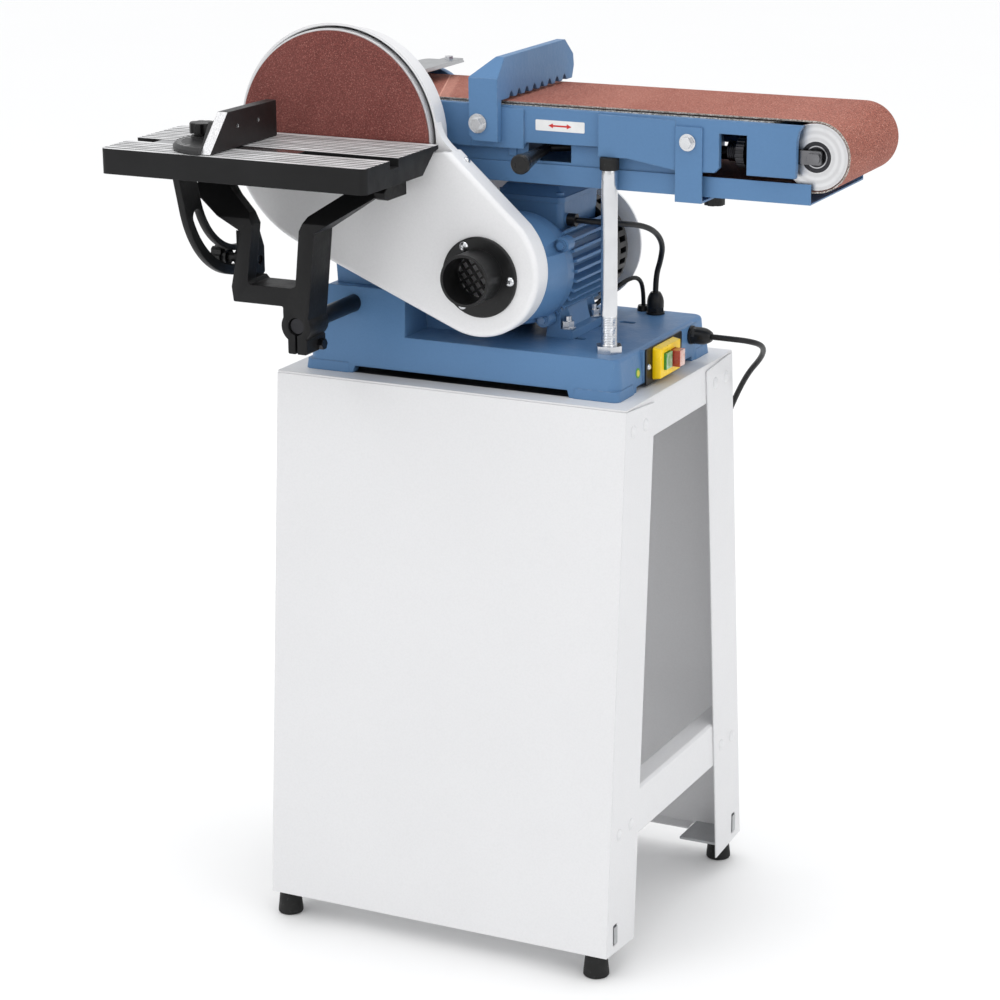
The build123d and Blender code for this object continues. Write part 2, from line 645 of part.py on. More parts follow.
def vee_pulley(x, z, rb, bore):
    with BuildSketch(FR(PULLEY_Y + 11)) as sk:
        circ(x, z, rb + 2.5)
    extrude(sk.sketch, amount=22)
    with BuildSketch(FR(PULLEY_Y + 6.5)) as sk:
        circ(x, z, rb + 6)
        circ(x, z, rb - 8.5, Mode.SUBTRACT)
    extrude(sk.sketch, amount=13, mode=Mode.SUBTRACT)
    with BuildSketch(FR(PULLEY_Y + 15)) as sk:
        circ(x, z, bore)
    extrude(sk.sketch, amount=30, mode=Mode.SUBTRACT)


with BuildPart() as motor_pulley:
    vee_pulley(MX, MZ, R_MP, 7.0)
motor_pulley.part.label = "motor_pulley"
export_step(motor_pulley.part, "parts/motor_pulley.step")

with BuildPart() as driven_pulley:
    vee_pulley(AX, AZ, R_DP, SHAFT_R)
driven_pulley.part.label = "driven_pulley"
export_step(driven_pulley.part, "parts/driven_pulley.step")

with BuildPart() as v_belt:
    with BuildSketch(FR(PULLEY_Y + 6)):
        hull((MX, MZ), R_MP, (AX, AZ), R_DP)
        hull((MX, MZ), R_MP - 8, (AX, AZ), R_DP - 8, Mode.SUBTRACT)
    extrude(amount=12)
v_belt.part.label = "v_belt"
export_step(v_belt.part, "parts/v_belt.step")

COV_Y0, COV_Y1 = 107.5, 144.0
with BuildPart() as belt_cover:
    # round back plate behind the motor, then the box over the pulleys
    with BuildSketch(FR(COV_Y0 + 3)):
        hull((MX, MZ), 30, (AX, AZ), 28)
        circ(MX, MZ, 70)
    extrude(amount=3)
    with BuildSketch(FR(COV_Y1)):
        hull((MX, MZ), 30, (AX, AZ), 28)
    extrude(amount=COV_Y1 - COV_Y0 - 3)
    fillet(belt_cover.faces().sort_by(Axis.Y)[-1].edges(), 6)
    with BuildSketch(FR(COV_Y1 - 2.5)):
        hull((MX, MZ), 27.5, (AX, AZ), 25.5)
    extrude(amount=COV_Y1 - COV_Y0 - 5.5, mode=Mode.SUBTRACT)
    with BuildSketch(FR(COV_Y0 + 8)):
        circ(MX, MZ, 12)
        circ(AX, AZ, 14)
    extrude(amount=20, mode=Mode.SUBTRACT)
belt_cover.part.label = "belt_cover"
export_step(belt_cover.part, "parts/belt_cover.step")

# ================================================================ SPINDLE
with BuildPart() as main_shaft:
    with BuildSketch(FR(140.5)):
        circ(AX, AZ, SHAFT_R)
    extrude(amount=140.5 + 126)
main_shaft.part.label = "main_shaft"
export_step(main_shaft.part, "parts/main_shaft.step")

with BuildPart() as drive_drum:
    with BuildSketch(FR(BELT_Y1 - 1)):
        circ(AX, AZ, DRUM_R)
    extrude(amount=148)
    with BuildSketch(FR(BELT_Y1 + 5)):
        circ(AX, AZ, DRUM_R - 6)
        circ(AX, AZ, 18, Mode.SUBTRACT)
    extrude(amount=46, mode=Mode.SUBTRACT)
    with BuildSketch(FR(-27)):
        circ(AX, AZ, DRUM_R - 6)
        circ(AX, AZ, 18, Mode.SUBTRACT)
    extrude(amount=46, mode=Mode.SUBTRACT)
    with BuildSketch(FR(BELT_Y1 + 5)):
        circ(AX, AZ, SHAFT_R)
    extrude(amount=170, mode=Mode.SUBTRACT)
drive_drum.part.label = "drive_drum"
export_step(drive_drum.part, "parts/drive_drum.step")

with BuildPart() as disc_plate:
    with BuildSketch(FR(-126)):
        circ(AX, AZ, PLATE_R)
    extrude(amount=9.6)
    with BuildSketch(FR(-100)):
        circ(AX, AZ, 24)
    extrude(amount=26)
    with BuildSketch(FR(-126)):
        circ(AX, AZ, 100)
        circ(AX, AZ, 34, Mode.SUBTRACT)
    extrude(amount=3, mode=Mode.SUBTRACT)
    with BuildSketch(FR(-90)):
        circ(AX, AZ, SHAFT_R)
    extrude(amount=36, mode=Mode.SUBTRACT)
disc_plate.part.label = "disc_plate"
export_step(disc_plate.part, "parts/disc_plate.step")

with BuildPart() as sanding_disc:
    with BuildSketch(FR(DISC_FACE + 1.4)):
        circ(AX, AZ, DISC_R)
    extrude(amount=1.4)
sanding_disc.part.label = "sanding_disc"
export_step(sanding_disc.part, "parts/sanding_disc.step")

# ================================================================ ARM
CHEEK_R = 46.0
LEVER_X, LEVER_Y = 122.0, -22.0
PUSH_Y, PUSH_Z, PUSH_R = -9.0, 892.0, 7.0
with BuildPart() as arm_casting:
    # front wall with the lever notch and the support boss
    with BuildSketch(FR(-73.6)):
        poly([(AX, AZ + 37), (375, 937.5), (370.5, 931), (368.4, 920), (368.4, 893), (367.5, 883), (314.5, 883), (314.5, 924), (284, 924), (284, 888), (279, 883), (240, 881.5),
              (198, 891), (184, 893.5), (150, 893.5), (150, 901), (64, 900), (60, 894), (35, 892), (-15, 892), (-39, 896), (-98, 878), (AX, AZ - CHEEK_R)])
        circ(AX, AZ, CHEEK_R)
        circ(AX, AZ, HUB_R + 0.06, Mode.SUBTRACT)
    extrude(amount=-73.6 - WALL_Y)
    # rear wall
    with BuildSketch(FR(93)):
        poly([(AX, AZ + 37), (376, 937.5), (370, 883), (198, 886), (-30, 890), (-100, 872), (AX, AZ - CHEEK_R)])
        circ(AX, AZ, CHEEK_R)
        circ(AX, AZ, HUB_R + 0.06, Mode.SUBTRACT)
    extrude(amount=6.6)
    # hub cheeks
    for y0, y1 in ((WALL_Y, -70.4), (84.4, 94.0)):
        with BuildSketch(FR(y1)):
            circ(AX, AZ, CHEEK_R)
            circ(AX, AZ, HUB_R + 0.06, Mode.SUBTRACT)
        extrude(amount=y1 - y0)
    # ears for the drum guard
    for y0, y1 in ((WALL_Y, -70.4), (84.4, 94.0)):
        with BuildSketch(FR(y1)):
            poly([(AX + 53.17 * cos(radians(a)), AZ + 53.17 * sin(radians(a))) for a in range(140, 161, 2)]
                 + [(AX + 42 * cos(radians(a)), AZ + 42 * sin(radians(a))) for a in (160, 150, 140)])
        extrude(amount=y1 - y0)
    # deck under the platen
    with BuildSketch(FR(86.4)):
        rect(-84, 925, 338, 933.5)
    extrude(amount=160)
    # cross ribs
    for rx in (-84, 40, 214):
        with BuildSketch(SD(rx)):
            rect(-74, 884, 87, 926)
            if rx > 0:
                rect(-70, 874, 87, 886)
            if rx == 214:
                circ(PUSH_Y, PUSH_Z, PUSH_R + 0.06, Mode.SUBTRACT)
        extrude(amount=9)
    # floor under the lever
    with BuildSketch(TP(874)):
        rect(40, -70, 223, 87)
    extrude(amount=2.5)
    # lever pivot: boss and pin under the deck
    with BuildSketch(TP(899)):
        circ(LEVER_X, LEVER_Y, 11)
    extrude(amount=27)
    with BuildSketch(TP(883)):
        circ(LEVER_X, LEVER_Y, 5)
    extrude(amount=17)
    # boss that comes down on the support post
    with BuildSketch(FR(-76)):
        poly([(150, 892), (183, 892), (235.4, 882.4), (235.4, 935), (150, 936)])
    extrude(amount=10)
    with BuildSketch(TP(860)):
        poly([(183, -86.5), (183, -86), (235.4, -80.3), (240, -80.3), (240, -86.5)])
    extrude(amount=90, mode=Mode.SUBTRACT)
    # inner skirt beside the lower run of the belt
    with BuildSketch(FR(-69)):
        poly([(-60, 868), (232, 868), (232, 899), (112, 899), (112, 880), (62, 880), (62, 899), (-60, 899)])
    extrude(amount=1.5)
    # raised pad beside the fence
    with BuildSketch(FR(-79)):
        rrect(0, 893, 62, 936, 2)
    extrude(amount=3.5)
    # pad at the strap
    fillet(arm_casting.edges().filter_by(Axis.Y).filter_by(lambda e: abs(e.center().Z - 901) < 0.6 and e.center().X - OX > 140), 3)
    # fence bolt hole and strap bolt hole
    with BuildSketch(FR(-60)):
        circ(13, 919, 4.2)
        circ(250, 913, 4.2)
    extrude(amount=40, mode=Mode.SUBTRACT)
arm_casting.part.label = "arm_casting"
export_step(arm_casting.part, "parts/arm_casting.step")

with BuildPart() as platen:
    with BuildSketch(TP(933.5)):
        rrect(-84, -67.5, 338, 81.5, 3)
    extrude(amount=4.5)
platen.part.label = "platen"
export_step(platen.part, "parts/platen.step")

with BuildPart() as sanding_belt:
    with BuildSketch(FR(BELT_Y1)):
        hull((AX, AZ), DRUM_R + GAP + BELT_T, (IX, IZ), IDLER_R + GAP + BELT_T)
        hull((AX, AZ), DRUM_R + GAP, (IX, IZ), IDLER_R + GAP, Mode.SUBTRACT)
    extrude(amount=BELT_Y1 - BELT_Y0)
sanding_belt.part.label = "sanding_belt"
export_step(sanding_belt.part, "parts/sanding_belt.step")

GUARD_Z = 855.5
with BuildPart() as lower_guard:
    with BuildSketch(SD(-5)):
        poly([(-72.6, GUARD_Z), (88, GUARD_Z), (88, 870), (86.4, 870), (86.4, GUARD_Z + 1.6), (-71, GUARD_Z + 1.6), (-71, 877), (-72.6, 877)])
    extrude(amount=387)
    # hanger straps, front and rear
    with BuildSketch(SD(236)):
        poly([(-82.2, 850), (-8, 850), (-8, 852.2), (-80, 852.2), (-80, 929), (-82.2, 929)])
        poly([(95.2, 850), (40, 850), (40, 852.2), (93, 852.2), (93, 929), (95.2, 929)])
    extrude(amount=30)
    # distance bushes between straps and guard
    with BuildSketch(TP(852)):
        circ(257, -24, 8)
        circ(251, 60, 8)
    extrude(amount=4)
    with BuildSketch(TP(848)):
        circ(257, -24, 4.06)
    extrude(amount=12, mode=Mode.SUBTRACT)
    with BuildSketch(FR(-60)):
        circ(250, 913, 4.2)
    extrude(amount=30, mode=Mode.SUBTRACT)
lower_guard.part.label = "lower_guard"
export_step(lower_guard.part, "parts/lower_guard.step")

with BuildPart() as guard_knob:
    with BuildSketch(TP(838.5)):
        circ(257, -24, 11)
        for k in range(6):
            circ(257 + 13.2 * cos(radians(60 * k)), -24 + 13.2 * sin(radians(60 * k)), 3.4, Mode.SUBTRACT)
    extrude(amount=11.2)
    with BuildSketch(TP(849)):
        circ(257, -24, 4.0)
    extrude(amount=12)
guard_knob.part.label = "guard_knob"
export_step(guard_knob.part, "parts/guard_knob.step")

FENCE_X0, FENCE_X1 = 2.0, 36.0
with BuildPart() as backstop_fence:
    # clamping leg on the face of the arm
    with BuildSketch(FR(-82.6)):
        poly([(FENCE_X0, 967), (FENCE_X0, 906), (FENCE_X0 + 6, 900), (FENCE_X1, 900), (FENCE_X1, 967)])
    extrude(amount=9.6)
    # body over the belt
    with BuildSketch(SD(FENCE_X0)):
        poly([(-92.2, 943.5), (-92.2, 967), (-74, 969), (-60, 969), (-60, 943.5)])
    extrude(amount=FENCE_X1 - FENCE_X0)
    with BuildSketch(SD(FENCE_X1 - 10)):
        poly([(-92.2, 943.5), (-92.2, 966), (-74, 988), (77, 988), (98, 970), (100, 957), (95, 943.5)])
    extrude(amount=10)
    # sloping web between the two
    with BuildSketch(SD(FENCE_X0)):
        poly([(-92.2, 960), (-92.2, 966), (-74, 988), (-60, 988), (-60, 960)])
    extrude(amount=FENCE_X1 - FENCE_X0 - 5)
    with BuildSketch(FR(-50)):
        poly([(FENCE_X0 - 2, 968), (FENCE_X0, 968), (FENCE_X1 - 10, 988.1), (FENCE_X1 - 10, 992), (FENCE_X0 - 2, 992)])
    extrude(amount=50, mode=Mode.SUBTRACT)
    # stiffening rib on the back
    with BuildSketch(SD(FENCE_X0 + 8)):
        poly([(-62, 950), (40, 950), (60, 958), (60, 966), (-62, 966)])
    extrude(amount=18)
    # saw-tooth lower edge
    with BuildSketch(SD(FENCE_X0 - 5)):
        for k in range(8):
            c = -58 + k * 19.0
            poly([(c - 6.5, 942), (c - 3, 948), (c, 950.5), (c + 3, 948), (c + 6.5, 942)])
    extrude(amount=60, mode=Mode.SUBTRACT)
    with BuildSketch(FR(-70)):
        circ(13, 919, 4.2)
    extrude(amount=40, mode=Mode.SUBTRACT)
backstop_fence.part.label = "backstop_fence"
export_step(backstop_fence.part, "parts/backstop_fence.step")

GUARD_R = 53.2
with BuildPart() as drum_guard:
    a0, a1 = radians(90), radians(238)
    am = (a0 + a1) / 2

    def gp(r, a):
        return (AX + r * cos(a), AZ + r * sin(a))
    with BuildSketch(FR(90)):
        with BuildLine():
            Line((-96, AZ + GUARD_R), gp(GUARD_R, a0))
            ThreePointArc(gp(GUARD_R, a0), gp(GUARD_R, am), gp(GUARD_R, a1))
            Line(gp(GUARD_R, a1), gp(GUARD_R + 1.6, a1))
            ThreePointArc(gp(GUARD_R + 1.6, a1), gp(GUARD_R + 1.6, am), gp(GUARD_R + 1.6, a0))
            Line(gp(GUARD_R + 1.6, a0), (-96, AZ + GUARD_R + 1.6))
            Line((-96, AZ + GUARD_R + 1.6), (-96, AZ + GUARD_R))
        make_face()
    extrude(amount=167)
    # bar along the open edge
    with BuildSketch(FR(88)):
        poly([(-118, AZ + GUARD_R + 1.6), (-96, AZ + GUARD_R + 1.6), (-96, AZ + GUARD_R + 4.6), (-118, AZ + GUARD_R + 4.6)])
    extrude(amount=150)
drum_guard.part.label = "drum_guard"
export_step(drum_guard.part, "parts/drum_guard.step")


def hex_head(plane, u, v, af, h, wr=0.0, wt=0.0, shank=0.0, rs=4.0):
    # washer, hex head and shank along the plane's normal
    if wr > 0:
        with BuildSketch(plane) as sk:
            circ(u, v, wr)
        extrude(sk.sketch, amount=wt)
    with BuildSketch(plane.offset(wt)) as sk:
        hexa(u, v, af)
    extrude(sk.sketch, amount=h)
    if shank > 0:
        with BuildSketch(plane) as sk:
            circ(u, v, rs)
        extrude(sk.sketch, amount=-shank)


with BuildPart() as arm_bolts:
    hex_head(FR(-92.2), 13, 919, 6.9, 5.5, 10.5, 2.0, 22.5)
    hex_head(FR(-82.2), 250, 913, 6.4, 5.5, 9.0, 1.6, 12.0)
    # drum guard bolts
    for yy in (-75.2, 88.0):
        o = Vector(OX + AX + (GUARD_R + 1.6) * cos(radians(150)), OY + yy, AZ + (GUARD_R + 1.6) * sin(radians(150)))
        hex_head(Plane(origin=o, x_dir=(0, 1, 0), z_dir=(cos(radians(150)), 0, sin(radians(150)))), 0, 0, 5.2, 4.0)
    hex_head(TP(AZ + GUARD_R + 4.6), -107, 74, 5.2, 3.6)
    # clip that keeps the lever on its pin
    with BuildSketch(TP(881)):
        circ(LEVER_X, LEVER_Y, 8)
    extrude(amount=2)
arm_bolts.part.label = "arm_bolts"
export_step(arm_bolts.part, "parts/arm_bolts.step")

# ---------------------------------------------------------------- idler end
with BuildPart() as idler_carriage:
    with BuildSketch(SD(320)):
        rect(-73.2, 884, 86, 916)
    extrude(amount=11)
    for y0, y1 in ((-73.2, -69.2), (82.8, 86.0)):
        with BuildSketch(FR(y1)):
            rrect(322, IZ - 7.2, IX + 8, IZ + 7.2, 3)
        extrude(amount=y1 - y0)
    # axle
    with BuildSketch(FR(86)):
        circ(IX, IZ, 8)
    extrude(amount=86 + 70.2)
    # push rod
    with BuildSketch(SD(140.5)):
        circ(PUSH_Y, PUSH_Z, PUSH_R)
    extrude(amount=181.5)
    # tracking screw bore
    with BuildSketch(SD(300)):
        circ(-56, 903, 4.06)
    extrude(amount=40, mode=Mode.SUBTRACT)
    # flats on the front end of the axle
    with BuildSketch(FR(-73.2)):
        circ(IX, IZ, 7)
        rect(IX - 10, IZ + 4.5, IX + 10, IZ + 12, Mode.SUBTRACT)
        rect(IX - 10, IZ - 4.5, IX + 10, IZ - 12, Mode.SUBTRACT)
    extrude(amount=3)
idler_carriage.part.label = "idler_carriage"
export_step(idler_carriage.part, "parts/idler_carriage.step")

with BuildPart() as idler_drum:
    with BuildSketch(FR(BELT_Y1 - 1)):
        circ(IX, IZ, IDLER_R)
    extrude(amount=148)
    chamfer(idler_drum.edges().filter_by(GeomType.CIRCLE), 1.0)
    with BuildSketch(FR(BELT_Y1 + 4)):
        circ(IX, IZ, 16)
    extrude(amount=170, mode=Mode.SUBTRACT)
    # weight-saving recess in the middle of the bore
    with BuildSketch(FR(60)):
        circ(IX, IZ, 28)
    extrude(amount=106, mode=Mode.SUBTRACT)
idler_drum.part.label = "idler_drum"
export_step(idler_drum.part, "parts/idler_drum.step")

with BuildPart() as idler_bearings:
    for yb in (BELT_Y1 - 2, -56):
        with BuildSketch(FR(yb)):
            circ(IX, IZ, 16)
            circ(IX, IZ, 8.05, Mode.SUBTRACT)
        extrude(amount=10)
idler_bearings.part.label = "idler_bearings"
export_step(idler_bearings.part, "parts/idler_bearings.step")

with BuildPart() as tracking_spring:
    with BuildSketch(SD(285)):
        circ(-56, 903, 12)
        circ(-56, 903, 6, Mode.SUBTRACT)
    extrude(amount=13)
tracking_spring.part.label = "tracking_spring"
export_step(tracking_spring.part, "parts/tracking_spring.step")

with BuildPart() as tracking_wheel:
    with BuildSketch(SD(298.5)):
        circ(-56, 903, 16.5)
        for k in range(24):
            circ(-56 + 17.2 * cos(radians(15 * k)), 903 + 17.2 * sin(radians(15 * k)), 1.3, Mode.SUBTRACT)
    extrude(amount=9)
    with BuildSketch(SD(278)):
        circ(-56, 903, 4.0)
    extrude(amount=58)
tracking_wheel.part.label = "tracking_wheel"
export_step(tracking_wheel.part, "parts/tracking_wheel.step")

# lever: hub, cam lobe, neck and ribbed grip
LEV_END = (82.0, -134.0, 886.0)
with BuildPart() as tension_lever:
    with BuildSketch(TP(885)):
        circ(LEVER_X, LEVER_Y, 11.5)
        hull((LEVER_X, LEVER_Y), 8, (LEVER_X + 12, LEVER_Y + 13), 6)
    extrude(amount=12)
    neck0 = Vector(OX + LEVER_X - 8, OY + LEVER_Y - 4, 890.5)
    neck1 = Vector(OX + 73.0, OY - 46.0, 890.0)
    nd = (neck1 - neck0).normalized()
    with BuildSketch(Plane(origin=neck0, x_dir=nd.cross(Vector(0, 0, 1)), z_dir=nd)):
        Circle(4.6)
    extrude(amount=(neck1 - neck0).length)
    with Locations(neck1):
        Sphere(5.0)
    g1 = Vector(OX + LEV_END[0], OY + LEV_END[1], LEV_END[2])
    gd = (g1 - neck1).normalized()
    gl = (g1 - neck1).length
    gx = gd.cross(Vector(0, 0, 1)).normalized()
    # plane holding the grip's axis as local y
    with BuildSketch(Plane(origin=neck1, x_dir=gx, z_dir=gx.cross(gd))):
        with BuildLine():
            Polyline((0, 0), (5.0, 0), (5.8, 0.3 * gl), (7.2, 0.55 * gl), (9.8, gl - 12), (10.7, gl - 7), (10.7, gl - 2), (9.2, gl), (0, gl), close=True)
        make_face()
    revolve(axis=Axis(tuple(neck1), tuple(gd)))
    with BuildSketch(TP(880)):
        circ(LEVER_X, LEVER_Y, 5.06)
    extrude(amount=30, mode=Mode.SUBTRACT)
tension_lever.part.label = "tension_lever"
export_step(tension_lever.part, "parts/tension_lever.step")

# ================================================================ SUPPORT POST
CAP_TOP = 891.6
with BuildPart() as support_post:
    with BuildSketch(TP(BASE_TOP)):
        circ(POST_X, POST_Y, POST_R)
    extrude(amount=CAP_TOP - 3 - BASE_TOP)
    with BuildSketch(TP(BASE_TOP - 11)):
        circ(POST_X, POST_Y, 6.0)
    extrude(amount=11)
support_post.part.label = "support_post"
export_step(support_post.part, "parts/support_post.step")

with BuildPart() as post_cap:
    with BuildSketch(TP(CAP_TOP - 13)):
        circ(POST_X, POST_Y, POST_R + 1.5)
    extrude(amount=13)
    fillet(post_cap.faces().sort_by(Axis.Z)[-1].edges(), 1.5)
    with BuildSketch(TP(CAP_TOP - 14)):
        circ(POST_X, POST_Y, POST_R)
    extrude(amount=11, mode=Mode.SUBTRACT)
post_cap.part.label = "post_cap"
export_step(post_cap.part, "parts/post_cap.step")

# ================================================================ SWITCH AND GLANDS
PX = BASE_X1
with BuildPart() as switch_plate:
    with BuildSketch(SD(PX)):
        rrect(-52, 640, 46, 680.5, 2)
        rect(-28, 650, 12, 674, Mode.SUBTRACT)
    extrude(amount=2)
switch_plate.part.label = "switch_plate"
export_step(switch_plate.part, "parts/switch_plate.step")

SW_Y0, SW_Y1 = -36.0, 22.0
with BuildPart() as switch_housing:
    with BuildSketch(SD(PX + 2)):
        rrect(SW_Y0, 643.5, SW_Y1, 679.5, 3)
    extrude(amount=9, taper=10)
    with BuildSketch(SD(PX - 14)):
        rect(-26, 651.5, 10, 672.5)
    extrude(amount=16)
    with BuildSketch(SD(PX - 10)):
        rect(-24.4, 652.6, -7.6, 671.4)
        rect(-6.4, 652.6, 8.4, 671.4)
    extrude(amount=30, mode=Mode.SUBTRACT)
switch_housing.part.label = "switch_housing"
export_step(switch_housing.part, "parts/switch_housing.step")

with BuildPart() as on_button:
    with BuildSketch(SD(PX - 5)):
        rect(-24, 653, -8, 671)
    extrude(amount=19)
    fillet(on_button.faces().sort_by(Axis.X)[-1].edges(), 0.8)
on_button.part.label = "on_button"
export_step(on_button.part, "parts/on_button.step")

with BuildPart() as off_button:
    with BuildSketch(SD(PX - 5)):
        rect(-6, 653, 8, 671)
    extrude(amount=27)
    fillet(off_button.faces().sort_by(Axis.X)[-1].edges(), 0.8)
off_button.part.label = "off_button"
export_step(off_button.part, "parts/off_button.step")

CORD_R = 3.2
GLAND_LEN = 25.0
with BuildPart() as cable_glands:
    def gland(plane, u, v):
        with BuildSketch(plane) as sk:
            circ(u, v, 10.5)
        extrude(sk.sketch, amount=2.5)
        with BuildSketch(plane.offset(2.5)) as sk:
            hexa(u, v, 10.0)
        extrude(sk.sketch, amount=5)
        o = plane.from_local_coords(Vector(u, v, 7.5))
        with BuildSketch(Plane(origin=o, x_dir=plane.x_dir, z_dir=plane.x_dir.cross(plane.z_dir))) as sk:
            with BuildLine():
                Polyline((CORD_R, 0), (9.6, 0), (9.6, 6))
                ThreePointArc((9.6, 6), (8.2, 12.5), (5.4, GLAND_LEN - 7.5))
                Polyline((5.4, GLAND_LEN - 7.5), (CORD_R, GLAND_LEN - 7.5), (CORD_R, 0))
            make_face()
        revolve(sk.sketch, axis=Axis(tuple(o), tuple(plane.z_dir)))
        with BuildSketch(plane) as sk:
            circ(u, v, 6.0)
        extrude(sk.sketch, amount=-8)
        with BuildSketch(plane.offset(-8)) as sk:
            circ(u, v, CORD_R)
        extrude(sk.sketch, amount=16, mode=Mode.SUBTRACT)
    for gx_, gy_ in GLANDS:
        gland(TP(BASE_TOP), gx_, gy_)
    gland(SD(BASE_X1), 76, 669)
    # plain grommet for the second lead
    with BuildSketch(TP(BASE_TOP - 6)):
        circ(GROMMET[0], GROMMET[1], 5.0)
    extrude(amount=6)
    with BuildSketch(TP(BASE_TOP)):
        circ(GROMMET[0], GROMMET[1], 7.5)
    extrude(amount=6, taper=12)
    with BuildSketch(TP(BASE_TOP - 7)):
        circ(GROMMET[0], GROMMET[1], 2.5)
    extrude(amount=20, mode=Mode.SUBTRACT)
cable_glands.part.label = "cable_glands"
export_step(cable_glands.part, "parts/cable_glands.step")

# ================================================================ CABLES


def route(points, name):
    # radii of the tangent arcs of a cable route: as large as its runs allow
    v = [Vector(*p) for p in points]
    out = []
    for i in range(1, len(v) - 1):
        a, b = v[i] - v[i - 1], v[i + 1] - v[i]
        t = radians(a.get_angle(b))
        out.append(0.45 * min(a.length, b.length) / tan(t / 2))
    print(name, "radii", [round(r, 1) for r in out], "runs", [round((v[i + 1] - v[i]).length) for i in range(len(v) - 1)])
    return v, out


def tube(points, r, name):
    v, rad = route(points, name)
    with BuildLine() as path:
        FilletPolyline(*v, radius=rad)
    w = path.wires()[0]
    with BuildSketch(Plane(origin=w @ 0, z_dir=w % 0)) as sk:
        Circle(r)
    sweep(sk.sketch, path=w)
    print(name, "length", round(w.length, 1))
    return w.length


def at(pts):
    return [(OX + p[0], OY + p[1], p[2]) for p in pts]


LEAD_A = [(89, -20, TB_Z0 + 10), (116, -20, TB_Z0 + 10), (137, 0, 804), (147, 34, 797), (151, 65, 785), (150, 89, 766), (142, 102, 745), (135, 104, 725), (135, 104, 703)]
LEAD_B = [(84, 46, 697), (99, 62, 712), (109, 82, 723), (114, 102, 723), (116, 114, 709), (116, 114, 686)]
with BuildPart() as motor_leads:
    tube(at(LEAD_A), CORD_R, "lead_a")
    tube(at(LEAD_B), 2.5, "lead_b")
motor_leads.part.label = "motor_leads"
export_step(motor_leads.part, "parts/motor_leads.step")

CORD_X0 = BASE_X1 + GLAND_LEN
CORD = [(CORD_X0 - 4, 76, 669), (CORD_X0 + 22, 76, 669), (CORD_X0 + 42, 93, 664), (CORD_X0 + 45, 120, 653), (CORD_X0 + 33, 147, 634),
        (CORD_X0 + 8, 163, 607), (CORD_X0 - 18, 182, 562), (CORD_X0 - 46, 197, 500), (CORD_X0 - 76, 211, 426), (CORD_X0 - 108, 224, 344),
        (CORD_X0 - 142, 235, 256), (CORD_X0 - 178, 243, 166), (CORD_X0 - 212, 246, 88), (CORD_X0 - 242, 243, 32), (CORD_X0 - 276, 236, 8.5),
        (CORD_X0 - 312, 231, 3.6)]
COIL_C = (CORD_X0 - 345, 231 + 39)
with BuildPart() as power_cord:
    CORD_LEN = tube(at(CORD), CORD_R, "power_cord")
power_cord.part.label = "power_cord"
export_step(power_cord.part, "parts/power_cord.step")

COIL_R = 39.0
with BuildPart() as power_cord_coil:
    with BuildSketch(Plane(origin=(OX + COIL_C[0], OY + COIL_C[1], 0), x_dir=(1, 0, 0), z_dir=(0, -1, 0))):
        with Locations((COIL_R, 10.5)):
            RectangleRounded(15, 21, 3.4)
    revolve(axis=Axis((OX + COIL_C[0], OY + COIL_C[1], 0), (0, 0, 1)))
power_cord_coil.part.label = "power_cord_coil"
export_step(power_cord_coil.part, "parts/power_cord_coil.step")

# moulded mains plug lying beside the coil
PLUG = (COIL_C[0] - 62.0, COIL_C[1] - 43.0, 18.5)
with BuildPart() as power_plug:
    with BuildSketch(SD(PLUG[0])):
        with Locations((PLUG[1], PLUG[2])):
            RectangleRounded(36, 37, 15)
    extrude(amount=-24, taper=5)
    with BuildSketch(SD(PLUG[0])):
        with Locations((PLUG[1], PLUG[2])):
            RectangleRounded(36, 37, 15)
    extrude(amount=6, taper=30)
    with BuildSketch(SD(PLUG[0] + 5)):
        circ(PLUG[1], PLUG[2], 6.5)
    extrude(amount=18, taper=6)
    with BuildSketch(SD(PLUG[0] - 24)):
        circ(PLUG[1] - 9.5, PLUG[2], 2.4)
        circ(PLUG[1] + 9.5, PLUG[2], 2.4)
    extrude(amount=-19)
power_plug.part.label = "power_plug"
export_step(power_plug.part, "parts/power_plug.step")

